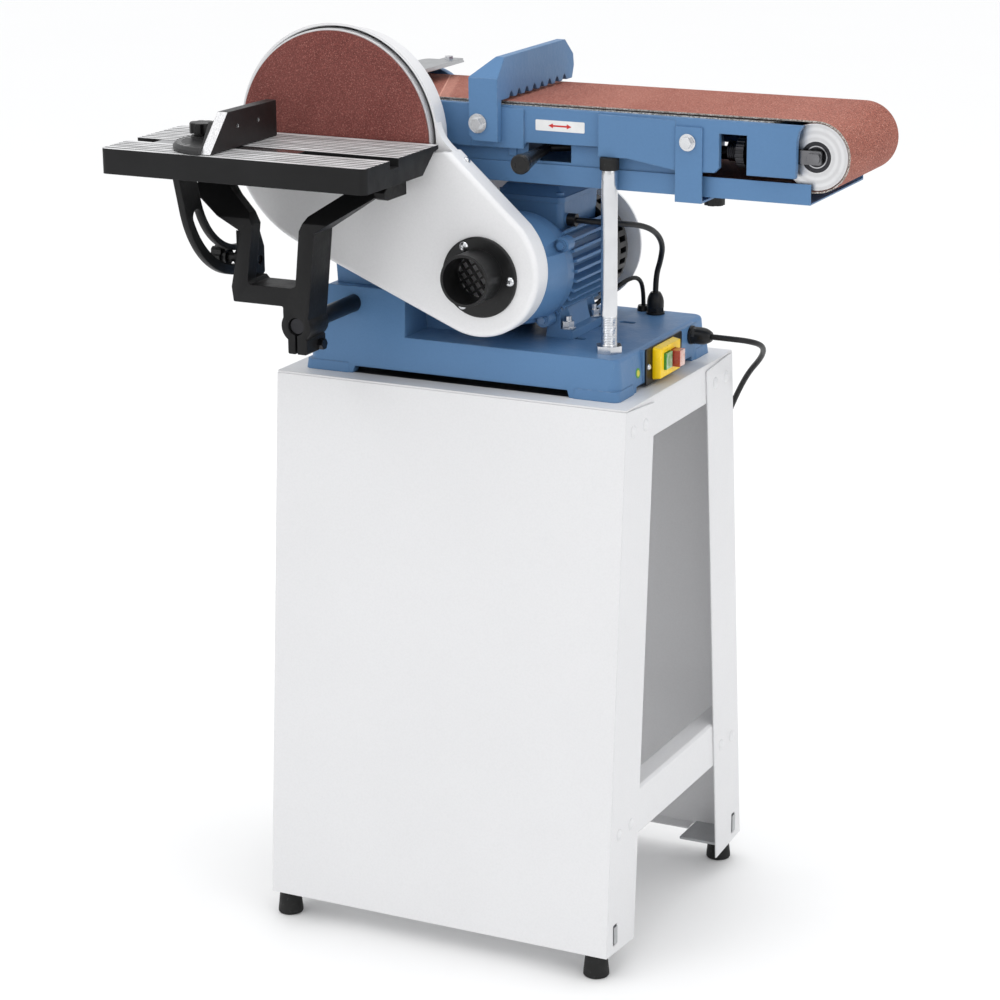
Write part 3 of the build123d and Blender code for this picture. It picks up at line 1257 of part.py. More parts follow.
# ================================================================ FASTENERS OF THE FIXED MACHINE
with BuildPart() as fasteners:
    # domed heads on the sides of the stand
    for sx in (-1, 1):
        pl = Plane(origin=(OX + sx * HALF, OY, 0), x_dir=(0, sx, 0), z_dir=(sx, 0, 0))
        for sy in (-1, 1):
            for z, a, b in ((611, 20, 52), (165, 22, 54)):
                for d in (a, b):
                    dome(pl, sx * sy * (panel_y(z) - d), z, 6.5, 2.6)
    # hold-down bolts from below the stand top
    for bx, by in BASE_BOLTS:
        pl = Plane(origin=(OX + bx, OY + by, STAND_H - SHEET), x_dir=(1, 0, 0), z_dir=(0, 0, -1))
        hex_head(pl, 0, 0, 6.6, 5.3, 9, 1.6, 28, 4.0)
    # motor studs with nuts and washers
    for sx, sy in STUDS:
        with BuildSketch(TP(BASE_TOP - 8)):
            circ(sx, sy, 4.0)
        extrude(amount=32)
        with BuildSketch(TP(BASE_TOP + 10.5)):
            circ(sx, sy, 8.5)
        extrude(amount=1.6)
        with BuildSketch(TP(BASE_TOP + 12.1)):
            hexa(sx, sy, 7.2)
        extrude(amount=6.5)
    # end shield screws
    for a in SHIELD_A:
        hex_head(FR(-66), MX + SHIELD_R * cos(radians(a)), MZ + SHIELD_R * sin(radians(a)), 4.6, 3.6, 6.0, 1.0)
    # jam nut of the post
    with BuildSketch(TP(BASE_TOP)):
        hexa(POST_X, POST_Y, 15.0)
        circ(POST_X, POST_Y, POST_R, Mode.SUBTRACT)
    extrude(amount=8)
    # port screws, cover screws, switch plate screws
    for u, v in PORT_SCREWS:
        dome(FR(COVER_Y - 4), u, v, 5.4, 3.0)
    ct = atan2(CB[1] - KZ, CB[0] - KX) + atan2(RB, sqrt((CB[0] - KX) ** 2 + (CB[1] - KZ) ** 2 - RB * RB))
    for sd in (20.0,):
        so = Vector(OX + KX + sd * cos(ct) - 2.6 * sin(ct), OY - 122, KZ + sd * sin(ct) + 2.6 * cos(ct))
        dome(Plane(origin=so, x_dir=(0, 1, 0), z_dir=(-sin(ct), 0, cos(ct))), 0, 0, 4.2, 2.6)
    for y_, z_ in ((-45, 660), (38, 660)):
        dome(SD(PX + 2), y_, z_, 3.8, 2.4)
fasteners.part.label = "fasteners"
export_step(fasteners.part, "parts/fasteners.step")

# ================================================================ TABLE
LUG_L, LUG_R = (-279.0, -268.4), (-63.0, -52.4)
EAR_L, EAR_R = (-268.0, -256.0), (-52.0, -40.0)
PIN_R = 5.0
with BuildPart() as table_yoke:
    with BuildSketch(FR(YOKE_Y1)):
        poly([(-211, 734), (-150, 734), (-150, 720), (-120, 720), (-118, 736), (-110, 815), (-44, 858), (-40, 864), (-40, 872), (-66, 872),
              (-86, 856), (-120, 832), (-128, 817), (-134, 757), (-140, 754), (-189, 754), (-193, 758), (-185, 819), (-191, 831), (-236, 858), (-246, 866),
              (-268, 866), (-268, 846), (-200, 811), (-213, 750)])
        circ(ROD_X, ROD_Z, 17.5)
        # clamp lugs under the hub
        rrect(-145, 683, -122, 700, 2)
    extrude(amount=YOKE_Y1 - YOKE_Y0)
    fillet(table_yoke.edges().filter_by(Axis.Y).filter_by(lambda e: abs(e.center().Z - 734) < 1 or abs(e.center().Z - 757) < 3.5), 2.0)
    # thin left upright and arm
    with BuildSketch(SD(-272)):
        poly([(-216, 758), (-216, 831), (-203, 845), (YOKE_Y1 + 2, 853), (YOKE_Y1 + 2, 758)])
    extrude(amount=94, mode=Mode.SUBTRACT)
    # the arms lean back under the table
    with BuildSketch(SD(-300)):
        poly([(-240, 819), (-240, 900), (-164, 900)])
    extrude(amount=300, mode=Mode.SUBTRACT)
    # pivot ears
    for x0, x1 in (EAR_L, EAR_R):
        with BuildSketch(SD(x0)):
            poly([(-206, 853), (-198, 850), (TILT_Y + 11, 850), (TILT_Y + 11, TILT_Z + 6), (-176, TILT_Z + 9), (-206, 859)])
            circ(TILT_Y, TILT_Z, 11.5)
        extrude(amount=x1 - x0)
        with BuildSketch(SD(x0 - 5)):
            circ(TILT_Y, TILT_Z, PIN_R)
        extrude(amount=x1 - x0 + 10, mode=Mode.SUBTRACT)
    # side plate with the sleeve of the lock stud
    with BuildSketch(SD(-215)):
        poly([(-218, 740), (-198, 740), (LOCK_Y + 9, 756), (LOCK_Y + 9, 784), (LOCK_Y + 1, 802), (-218, 808)])
    extrude(amount=9)
    with BuildSketch(SD(-234.5)):
        circ(LOCK_Y, LOCK_Z, 9)
    extrude(amount=20)
    with BuildSketch(SD(-240)):
        circ(LOCK_Y, LOCK_Z, 5.06)
    extrude(amount=50, mode=Mode.SUBTRACT)
    # rod bore, clamp slit, clamp bolt bore
    with BuildSketch(FR(YOKE_Y1 + 5)):
        circ(ROD_X, ROD_Z, ROD_R + 0.06)
        rect(ROD_X - 1.4, 676, ROD_X + 1.4, ROD_Z - 4)
    extrude(amount=60, mode=Mode.SUBTRACT)
    with BuildSketch(SD(-160)):
        circ(-206, 690, 4.0)
    extrude(amount=60, mode=Mode.SUBTRACT)
table_yoke.part.label = "table_yoke"
export_step(table_yoke.part, "parts/table_yoke.step")

with BuildPart() as yoke_bolts:
    # clamp bolt across the slit
    hex_head(SD(-122), -206, 690, 6.2, 6.0, 0, 0, 28, 4.0)
    # tilt pivots
    with BuildSketch(SD(LUG_L[0] - 7)):
        circ(TILT_Y, TILT_Z, PIN_R)
    extrude(amount=EAR_L[1] - LUG_L[0] + 7)
    with BuildSketch(SD(LUG_L[0] - 7)):
        circ(TILT_Y, TILT_Z, 7.6)
    extrude(amount=6.4)
    with BuildSketch(SD(LUG_R[0] - 7)):
        circ(TILT_Y, TILT_Z, PIN_R)
    extrude(amount=EAR_R[1] - LUG_R[0] + 7)
    with BuildSketch(SD(LUG_R[0] - 7)):
        circ(TILT_Y, TILT_Z, 7.6)
    extrude(amount=6.4)
yoke_bolts.part.label = "yoke_bolts"
export_step(yoke_bolts.part, "parts/yoke_bolts.step")

with BuildPart() as table:
    # end profile: skirt in front, chamfer rising to a thin rear edge at the disc
    with BuildSketch(SD(TAB_X0)):
        poly([(TAB_Y0, TAB_Z - TAB_SKIRT), (-176, TAB_Z - TAB_SKIRT), (-150, TAB_Z - 6), (TAB_Y1, TAB_Z - 4.5), (TAB_Y1, TAB_Z), (TAB_Y0, TAB_Z)])
    extrude(amount=TAB_X1 - TAB_X0)
    fillet(table.edges().filter_by(Axis.Z).filter_by(lambda e: e.center().Y - OY < -250), 7)
    # hollow underside
    with BuildSketch(SD(TAB_X0 + 6)):
        poly([(TAB_Y0 + 6, TAB_Z - TAB_SKIRT - 1), (-166, TAB_Z - TAB_SKIRT - 1), (-166, TAB_Z - 16), (-172, TAB_Z - TAB_T), (TAB_Y0 + 6, TAB_Z - TAB_T)])
    extrude(amount=TAB_X1 - TAB_X0 - 12, mode=Mode.SUBTRACT)
    # rib under the mitre slot
    with BuildSketch(SD(TAB_X0 + 3)):
        rect(SLOT_Y - SLOT_W / 2 - 5, TAB_Z - 14, SLOT_Y + SLOT_W / 2 + 5, TAB_Z - 4)
    extrude(amount=TAB_X1 - TAB_X0 - 6)
    # pivot lugs
    for x0, x1 in (LUG_L, LUG_R):
        with BuildSketch(SD(x0)):
            rect(TILT_Y - 12, TILT_Z, TILT_Y + 8, TAB_Z - 5)
            circ(TILT_Y, TILT_Z, 11)
        extrude(amount=x1 - x0)
        with BuildSketch(SD(x0 - 5)):
            circ(TILT_Y, TILT_Z, PIN_R + 0.06)
        extrude(amount=x1 - x0 + 10, mode=Mode.SUBTRACT)
    # seat of the quadrant
    with BuildSketch(TP(TAB_Z - TAB_SKIRT)):
        rect(QUAD_X - 10, TAB_Y0 + 4, QUAD_X + 10, -258)
    extrude(amount=TAB_SKIRT - TAB_T + 1)
    # mitre slot and shallow planing grooves
    with BuildSketch(TP(TAB_Z - SLOT_D)):
        rect(TAB_X0 - 5, SLOT_Y - SLOT_W / 2, TAB_X1 + 5, SLOT_Y + SLOT_W / 2)
    extrude(amount=20, mode=Mode.SUBTRACT)
    with BuildSketch(TP(TAB_Z - 0.9)):
        for gy in [TAB_Y0 + 9 + 8.6 * i for i in range(5)] + [SLOT_Y + 17 + 8.6 * i for i in range(9)]:
            rect(TAB_X0 - 5, gy - 1.1, TAB_X1 + 5, gy + 1.1)
    extrude(amount=5, mode=Mode.SUBTRACT)
table.part.label = "table"
export_step(table.part, "parts/table.step")

# quadrant: leg on the table and slotted arc about the tilt pivot
with BuildPart() as tilt_quadrant:
    with BuildSketch(SD(QUAD_X - 4)):
        with BuildLine():
            q0, q1 = radians(180 + 14), radians(180 + 93)
            qm = (q0 + q1) / 2

            def qp(r, a):
                return (TILT_Y + r * cos(a), TILT_Z + r * sin(a))
            ThreePointArc(qp(120, q0), qp(120, qm), qp(120, q1))
            Line(qp(120, q1), qp(87, q1))
            ThreePointArc(qp(87, q1), qp(87, qm), qp(87, q0))
            Line(qp(87, q0), qp(120, q0))
        make_face()
        poly([qp(120, q0), (-294, TAB_Z - TAB_SKIRT), (-260, TAB_Z - TAB_SKIRT), qp(87, q0)])
        with BuildLine():
            s0, s1 = radians(180 + 24), radians(180 + 84)
            sm = (s0 + s1) / 2
            ThreePointArc(qp(SLOT_R + 7.5, s0), qp(SLOT_R + 7.5, sm), qp(SLOT_R + 7.5, s1))
            ThreePointArc(qp(SLOT_R + 7.5, s1), (TILT_Y + SLOT_R * cos(s1) - 7.5 * sin(s1), TILT_Z + SLOT_R * sin(s1) + 7.5 * cos(s1)), qp(SLOT_R - 7.5, s1))
            ThreePointArc(qp(SLOT_R - 7.5, s1), qp(SLOT_R - 7.5, sm), qp(SLOT_R - 7.5, s0))
            ThreePointArc(qp(SLOT_R - 7.5, s0), (TILT_Y + SLOT_R * cos(s0) + 7.5 * sin(s0), TILT_Z + SLOT_R * sin(s0) - 7.5 * cos(s0)), qp(SLOT_R + 7.5, s0))
        make_face(mode=Mode.SUBTRACT)
    extrude(amount=8)
tilt_quadrant.part.label = "tilt_quadrant"
export_step(tilt_quadrant.part, "parts/tilt_quadrant.step")

with BuildPart() as tilt_lock_knob:
    with BuildSketch(SD(-263)):
        circ(LOCK_Y, LOCK_Z, 13)
        for k in range(7):
            a = 2 * pi * k / 7
            circ(LOCK_Y + 15.3 * cos(a), LOCK_Z + 15.3 * sin(a), 4.2, Mode.SUBTRACT)
    extrude(amount=13)
    fillet(tilt_lock_knob.faces().sort_by(Axis.X)[0].edges(), 1.0)
    with BuildSketch(SD(-251)):
        circ(LOCK_Y, LOCK_Z, 9)
    extrude(amount=6)
    with BuildSketch(SD(-246)):
        circ(LOCK_Y, LOCK_Z, 5.0)
    extrude(amount=38)
tilt_lock_knob.part.label = "tilt_lock_knob"
export_step(tilt_lock_knob.part, "parts/tilt_lock_knob.step")

# ---------------------------------------------------------------- mitre gauge
HEAD = (-240.0, SLOT_Y)
with BuildPart() as mitre_bar:
    with BuildSketch(TP(TAB_Z - SLOT_D + 0.4)):
        rect(-296, SLOT_Y - SLOT_W / 2 + 0.35, -120, SLOT_Y + SLOT_W / 2 - 0.35)
    extrude(amount=SLOT_D - 0.6)
    with BuildSketch(TP(TAB_Z - 1)):
        circ(HEAD[0], HEAD[1], 4.0)
    extrude(amount=22)
mitre_bar.part.label = "mitre_bar"
export_step(mitre_bar.part, "parts/mitre_bar.step")

with BuildPart() as mitre_head:
    with BuildSketch(TP(TAB_Z + 0.5)):
        circ(-207, SLOT_Y - 6, 56)
        rect(-207, SLOT_Y - 100, -100, SLOT_Y + 100, Mode.SUBTRACT)
        rect(-300, SLOT_Y + 40, -207, SLOT_Y + 90, Mode.SUBTRACT)
    extrude(amount=7)
    chamfer(mitre_head.faces().sort_by(Axis.Z)[-1].edges().filter_by(GeomType.CIRCLE), 3)
    with BuildSketch(TP(TAB_Z + 7)):
        circ(HEAD[0], HEAD[1], 12)
    extrude(amount=3)
    # upright web that the fence is screwed to
    with BuildSketch(SD(-213)):
        poly([(SLOT_Y - 48, TAB_Z + 2), (SLOT_Y - 30, TAB_Z + 30), (SLOT_Y + 30, TAB_Z + 30), (SLOT_Y + 30, TAB_Z + 2)])
    extrude(amount=6)
    with BuildSketch(TP(TAB_Z - 1)):
        circ(HEAD[0], HEAD[1], 4.06)
    extrude(amount=20, mode=Mode.SUBTRACT)
mitre_head.part.label = "mitre_head"
export_step(mitre_head.part, "parts/mitre_head.step")

with BuildPart() as mitre_fence:
    with BuildSketch(SD(-207)):
        poly([(-296, TAB_Z + 0.8), (-160, TAB_Z + 0.8), (-160, TAB_Z + 39), (-259, TAB_Z + 40)])
        circ(-240, TAB_Z + 23, 2.2, Mode.SUBTRACT)
        circ(-198, TAB_Z + 23, 2.2, Mode.SUBTRACT)
    extrude(amount=12)
mitre_fence.part.label = "mitre_fence"
export_step(mitre_fence.part, "parts/mitre_fence.step")

with BuildPart() as mitre_knob:
    with BuildSketch(TP(TAB_Z + 10.4)):
        circ(HEAD[0], HEAD[1], 9)
    extrude(amount=2.4)
    with BuildSketch(TP(TAB_Z + 12.8)):
        circ(HEAD[0], HEAD[1], 13.5)
        for k in range(7):
            a = 2 * pi * k / 7
            circ(HEAD[0] + 16 * cos(a), HEAD[1] + 16 * sin(a), 4.4, Mode.SUBTRACT)
    extrude(amount=11)
    fillet(mitre_knob.faces().sort_by(Axis.Z)[-1].edges(), 1.0)
    with BuildSketch(TP(TAB_Z + 5)):
        circ(HEAD[0], HEAD[1], 4.06)
    extrude(amount=16.4, mode=Mode.SUBTRACT)
mitre_knob.part.label = "mitre_knob"
export_step(mitre_knob.part, "parts/mitre_knob.step")
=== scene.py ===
import bpy
from math import sin, cos, pi, radians, sqrt, atan2, floor
from mathutils import Vector, Matrix


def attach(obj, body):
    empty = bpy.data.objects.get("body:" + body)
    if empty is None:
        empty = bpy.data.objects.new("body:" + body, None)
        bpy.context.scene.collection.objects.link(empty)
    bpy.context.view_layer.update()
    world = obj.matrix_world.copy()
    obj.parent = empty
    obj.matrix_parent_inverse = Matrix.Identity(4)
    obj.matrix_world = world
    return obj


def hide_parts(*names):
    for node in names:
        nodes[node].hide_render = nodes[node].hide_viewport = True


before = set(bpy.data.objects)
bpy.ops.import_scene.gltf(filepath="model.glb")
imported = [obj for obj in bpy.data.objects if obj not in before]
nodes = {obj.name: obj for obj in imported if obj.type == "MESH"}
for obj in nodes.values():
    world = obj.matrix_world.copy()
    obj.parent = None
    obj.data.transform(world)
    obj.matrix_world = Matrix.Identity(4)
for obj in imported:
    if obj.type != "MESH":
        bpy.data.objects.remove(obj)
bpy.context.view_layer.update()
scene = bpy.context.scene

# stations are millimetres from the middle of the stand; the row frame is in metres
OX, OY = -47.0, 52.8


def P(x, y, z):
    return Vector(((x + OX) / 1000.0, (y + OY) / 1000.0, z / 1000.0))


# ------------------------------------------------------------------ camera
def make_camera():
    yaw, pitch, roll = radians(-26.48), radians(16.74), radians(-0.5)
    d = Vector((sin(yaw) * cos(pitch), cos(yaw) * cos(pitch), -sin(pitch)))
    r = Vector((cos(yaw), -sin(yaw), 0.0))
    u = r.cross(d)
    r2 = r * cos(roll) + u * sin(roll)
    u2 = u * cos(roll) - r * sin(roll)
    cam = bpy.data.cameras.new("camera")
    cam.sensor_fit = "HORIZONTAL"
    cam.sensor_width = 36.0
    cam.lens = 103.93
    cam.clip_start, cam.clip_end = 0.05, 200.0
    ob = bpy.data.objects.new("camera", cam)
    scene.collection.objects.link(ob)
    m = Matrix((r2, u2, -d)).transposed().to_4x4()
    m.translation = Vector((1.345, -2.7632, 1.419))
    ob.matrix_world = m
    scene.camera = ob
    return ob


make_camera()


# ------------------------------------------------------------------ node helpers
def srgb(r, g, b):
    out = []
    for c in (r, g, b):
        c /= 255.0
        out.append(c / 12.92 if c <= 0.04045 else ((c + 0.055) / 1.055) ** 2.4)
    return tuple(out)


def new_mat(name):
    m = bpy.data.materials.new(name)
    m.use_nodes = True
    nt = m.node_tree
    nt.nodes.clear()
    out = nt.nodes.new("ShaderNodeOutputMaterial")
    b = nt.nodes.new("ShaderNodeBsdfPrincipled")
    nt.links.new(b.outputs[0], out.inputs[0])
    return m, nt, b


def put(nt, sock, val):
    if isinstance(val, bpy.types.NodeSocket):
        nt.links.new(val, sock)
    elif isinstance(val, (tuple, list)) and len(val) == 3 and sock.type == "RGBA":
        sock.default_value = (*val, 1.0)
    else:
        sock.default_value = val


def coords(nt):
    return nt.nodes.new("ShaderNodeTexCoord").outputs["Object"]


def own_normal(nt):
    # normal in the piece's own frame, so that a face keeps its finish when the piece turns
    return nt.nodes.new("ShaderNodeTexCoord").outputs["Normal"]


def xyz(nt, v):
    n = nt.nodes.new("ShaderNodeSeparateXYZ")
    nt.links.new(v, n.inputs[0])
    return n.outputs[0], n.outputs[1], n.outputs[2]


def noise(nt, v, scale, detail=2.0, rough=0.5, distort=0.0):
    n = nt.nodes.new("ShaderNodeTexNoise")
    n.inputs["Scale"].default_value = scale
    n.inputs["Detail"].default_value = detail
    n.inputs["Roughness"].default_value = rough
    n.inputs["Distortion"].default_value = distort
    nt.links.new(v, n.inputs["Vector"])
    return n.outputs[0]


def voronoi(nt, v, scale, out="Distance", feature="F1", rnd=1.0):
    n = nt.nodes.new("ShaderNodeTexVoronoi")
    n.feature = feature
    n.inputs["Scale"].default_value = scale
    n.inputs["Randomness"].default_value = rnd
    nt.links.new(v, n.inputs["Vector"])
    return n.outputs[out]


def scaled(nt, v, s):
    n = nt.nodes.new("ShaderNodeVectorMath")
    n.operation = "MULTIPLY"
    nt.links.new(v, n.inputs[0])
    n.inputs[1].default_value = s
    return n.outputs[0]


def mth(nt, op, a, b=0.0, c=0.0, clamp=False):
    n = nt.nodes.new("ShaderNodeMath")
    n.operation = op
    n.use_clamp = clamp
    put(nt, n.inputs[0], a)
    put(nt, n.inputs[1], b)
    put(nt, n.inputs[2], c)
    return n.outputs[0]


def ramp01(nt, v, a, b, lo=0.0, hi=1.0, smooth=True):
    n = nt.nodes.new("ShaderNodeMapRange")
    n.interpolation_type = "SMOOTHSTEP" if smooth else "LINEAR"
    n.clamp = True
    put(nt, n.inputs["Value"], v)
    for k, x in (("From Min", a), ("From Max", b), ("To Min", lo), ("To Max", hi)):
        n.inputs[k].default_value = x
    return n.outputs[0]


def mixc(nt, fac, a, b, blend="MIX"):
    n = nt.nodes.new("ShaderNodeMix")
    n.data_type = "RGBA"
    n.blend_type = blend
    n.clamp_factor = True
    put(nt, n.inputs[0], fac)
    put(nt, n.inputs[6], a)
    put(nt, n.inputs[7], b)
    return n.outputs[2]


def mixf(nt, fac, a, b):
    n = nt.nodes.new("ShaderNodeMix")
    n.data_type = "FLOAT"
    n.clamp_factor = True
    put(nt, n.inputs[0], fac)
    put(nt, n.inputs[2], a)
    put(nt, n.inputs[3], b)
    return n.outputs[0]


def bevel_normal(nt, r):
    n = nt.nodes.new("ShaderNodeBevel")
    n.samples = 4
    n.inputs["Radius"].default_value = r
    return n.outputs[0]


def edge_mask(nt, r, lo=0.985, hi=0.80):
    # 0 on flats, 1 on edges: how far the rounded normal leaves the true one
    g = nt.nodes.new("ShaderNodeNewGeometry")
    d = nt.nodes.new("ShaderNodeVectorMath")
    d.operation = "DOT_PRODUCT"
    nt.links.new(bevel_normal(nt, r), d.inputs[0])
    nt.links.new(g.outputs["True Normal"], d.inputs[1])
    return ramp01(nt, mth(nt, "ABSOLUTE", d.outputs["Value"]), hi, lo, 1.0, 0.0)


def bump(nt, h, dist, strength=1.0, normal=None):
    n = nt.nodes.new("ShaderNodeBump")
    n.inputs["Strength"].default_value = strength
    n.inputs["Distance"].default_value = dist
    nt.links.new(h, n.inputs["Height"])
    if normal is not None:
        nt.links.new(normal, n.inputs["Normal"])
    return n.outputs[0]


def dark(c, k):
    return tuple(x * k for x in c)


def toward(c, t, k):
    return tuple(a + (b - a) * k for a, b in zip(c, t))


def past(axis, at_mm, above=True):
    """Mask of the side of a plane across one axis, in machine millimetres."""
    off = (OX, OY, 0.0)[axis]

    def f(nt, v):
        q = xyz(nt, v)[axis]
        a = (at_mm + off) / 1000.0
        return ramp01(nt, q, a - 0.0003, a + 0.0003, 0.0 if above else 1.0, 1.0 if above else 0.0)
    return f


def both(f, g):
    return lambda nt, v: mth(nt, "MULTIPLY", f(nt, v), g(nt, v))


# ------------------------------------------------------------------ materials
def painted(name, col, rough, peel_mm, peel_amt, cast_mm=0.0, cast_amt=0.0, edge=0.0, edge_col=(0.9, 0.9, 0.9), round_mm=1.2, broad=0.05, coat=0.0, dust=0.0, spec=0.5, zone=None, zone_col=None):
    """Paint or powder coat: broad tone drift, fine peel, casting waviness underneath, lighter worn edges."""
    m, nt, b = new_mat(name)
    v = coords(nt)
    drift = ramp01(nt, noise(nt, v, 5.0, 3.0), 0.3, 0.7)
    c = mixc(nt, drift, dark(col, 1.0 - broad), dark(col, 1.0 + broad * 0.6))
    fleck = ramp01(nt, noise(nt, v, 420.0, 3.0, 0.6), 0.35, 0.7)
    c = mixc(nt, mth(nt, "MULTIPLY", fleck, 0.10), c, dark(col, 0.72))
    if dust > 0:
        g = nt.nodes.new("ShaderNodeNewGeometry")
        nz = xyz(nt, g.outputs["Normal"])[2]
        settle = mth(nt, "MULTIPLY", ramp01(nt, nz, 0.55, 0.98), ramp01(nt, noise(nt, v, 26.0, 5.0, 0.65), 0.42, 0.72))
        c = mixc(nt, mth(nt, "MULTIPLY", settle, dust), c, toward(col, (0.62, 0.58, 0.54), 0.5))
    if edge > 0:
        worn = mth(nt, "MULTIPLY", edge_mask(nt, round_mm / 1000.0), ramp01(nt, noise(nt, v, 160.0, 4.0), 0.40, 0.68))
        c = mixc(nt, mth(nt, "MULTIPLY", worn, edge), c, edge_col)
    if zone is not None:
        second = mixc(nt, drift, dark(zone_col, 0.8), dark(zone_col, 1.2))
        c = mixc(nt, zone(nt, v), c, second)
    put(nt, b.inputs["Base Color"], c)
    b.inputs["Specular IOR Level"].default_value = spec
    put(nt, b.inputs["Roughness"], ramp01(nt, noise(nt, v, 55.0, 4.0, 0.6), 0.25, 0.75, rough - 0.05, rough + 0.07))
    n = bevel_normal(nt, round_mm / 1000.0)
    if cast_amt > 0:
        n = bump(nt, noise(nt, v, 1000.0 / cast_mm, 3.0, 0.55), cast_amt / 1000.0, 0.8, n)
    n = bump(nt, noise(nt, v, 1000.0 / peel_mm, 1.0), peel_amt / 1000.0, 0.8, n)
    nt.links.new(n, b.inputs["Normal"])
    b.inputs["Coat Weight"].default_value = coat
    b.inputs["Coat Roughness"].default_value = 0.18
    return m


def metal(name, col, rough, line_dir=None, line_mm=0.5, line_amt=0.02, spot=0.0, round_mm=0.6, stain=0.12, zone=None, zone_col=None, zone_rough=0.25):
    """Bare or plated metal with fine tool marks, faint staining and uneven gloss."""
    m, nt, b = new_mat(name)
    v = coords(nt)
    c = mixc(nt, ramp01(nt, noise(nt, v, 38.0, 5.0, 0.6), 0.3, 0.72), dark(col, 1.0 - stain), col)
    if spot > 0:
        c = mixc(nt, mth(nt, "MULTIPLY", ramp01(nt, noise(nt, v, 240.0, 3.0), 0.58, 0.72), spot), c, dark(col, 0.35))
    r = ramp01(nt, noise(nt, v, 60.0, 3.0), 0.25, 0.75, rough - 0.04, rough + 0.06)
    if zone is not None:
        k = zone(nt, v)
        c = mixc(nt, k, c, mixc(nt, ramp01(nt, noise(nt, v, 70.0, 3.0), 0.3, 0.7), dark(zone_col, 0.85), zone_col))
        r = mixf(nt, k, r, zone_rough)
    put(nt, b.inputs["Base Color"], c)
    b.inputs["Metallic"].default_value = 1.0
    put(nt, b.inputs["Roughness"], r)
    s = {"x": (0.04, 1, 1), "y": (1, 0.04, 1), "z": (1, 1, 0.04), None: (1, 1, 1)}[line_dir]
    n = bump(nt, noise(nt, scaled(nt, v, s), 1000.0 / line_mm, 2.0), line_amt / 1000.0, 0.7, bevel_normal(nt, round_mm / 1000.0))
    nt.links.new(n, b.inputs["Normal"])
    return m


def turned(name, col, rough, centre, ring_mm=0.55, amt=0.03, bright=None):
    """Lathe-turned face: rings about an axis along Y through centre."""
    m, nt, b = new_mat(name)
    v = coords(nt)
    x, y, z = xyz(nt, v)
    dx = mth(nt, "SUBTRACT", x, centre.x)
    dz = mth(nt, "SUBTRACT", z, centre.z)
    r = mth(nt, "SQRT", mth(nt, "ADD", mth(nt, "MULTIPLY", dx, dx), mth(nt, "MULTIPLY", dz, dz)))
    wob = mth(nt, "MULTIPLY", noise(nt, v, 60.0, 2.0), 0.0006)
    ph = mth(nt, "MULTIPLY", mth(nt, "ADD", r, wob), 2 * pi / (ring_mm / 1000.0))
    ring = mth(nt, "MULTIPLY_ADD", mth(nt, "SINE", ph), 0.5, 0.5)
    broad = ramp01(nt, mth(nt, "SINE", mth(nt, "MULTIPLY", r, 2 * pi / 0.0068)), -1.0, 1.0)
    c = mixc(nt, broad, dark(col, 0.86), col)
    c = mixc(nt, mth(nt, "MULTIPLY", ramp01(nt, noise(nt, v, 90.0, 4.0), 0.5, 0.75), 0.25), c, dark(col, 0.6))
    if bright is not None:
        race = mth(nt, "MULTIPLY", ramp01(nt, r, bright[0] - 0.0002, bright[0] + 0.0002), ramp01(nt, r, bright[1] - 0.0002, bright[1] + 0.0002, 1.0, 0.0))
        c = mixc(nt, race, c, bright[2])
    put(nt, b.inputs["Base Color"], c)
    b.inputs["Metallic"].default_value = 1.0
    put(nt, b.inputs["Roughness"], ramp01(nt, noise(nt, v, 100.0, 3.0), 0.2, 0.8, rough - 0.06, rough + 0.1))
    nt.links.new(bump(nt, ring, amt / 1000.0, 0.6, bevel_normal(nt, 0.0007)), b.inputs["Normal"])
    return m


def plastic(name, col, rough, grain_mm=0.7, grain_amt=0.03, round_mm=0.8, scuff=0.12, sss=0.0, spec=0.4):
    m, nt, b = new_mat(name)
    v = coords(nt)
    c = mixc(nt, ramp01(nt, noise(nt, v, 30.0, 4.0), 0.3, 0.7), dark(col, 0.9), dark(col, 1.05))
    grey = toward(col, (0.35, 0.35, 0.35), 0.5)
    c = mixc(nt, mth(nt, "MULTIPLY", ramp01(nt, noise(nt, v, 190.0, 5.0, 0.7), 0.56, 0.74), scuff), c, grey)
    put(nt, b.inputs["Base Color"], c)
    put(nt, b.inputs["Roughness"], ramp01(nt, noise(nt, v, 70.0, 4.0), 0.25, 0.75, rough - 0.06, rough + 0.1))
    nt.links.new(bump(nt, noise(nt, v, 1000.0 / grain_mm, 2.0), grain_amt / 1000.0, 0.8, bevel_normal(nt, round_mm / 1000.0)), b.inputs["Normal"])
    b.inputs["Subsurface Weight"].default_value = sss
    b.inputs["Specular IOR Level"].default_value = spec
    return m


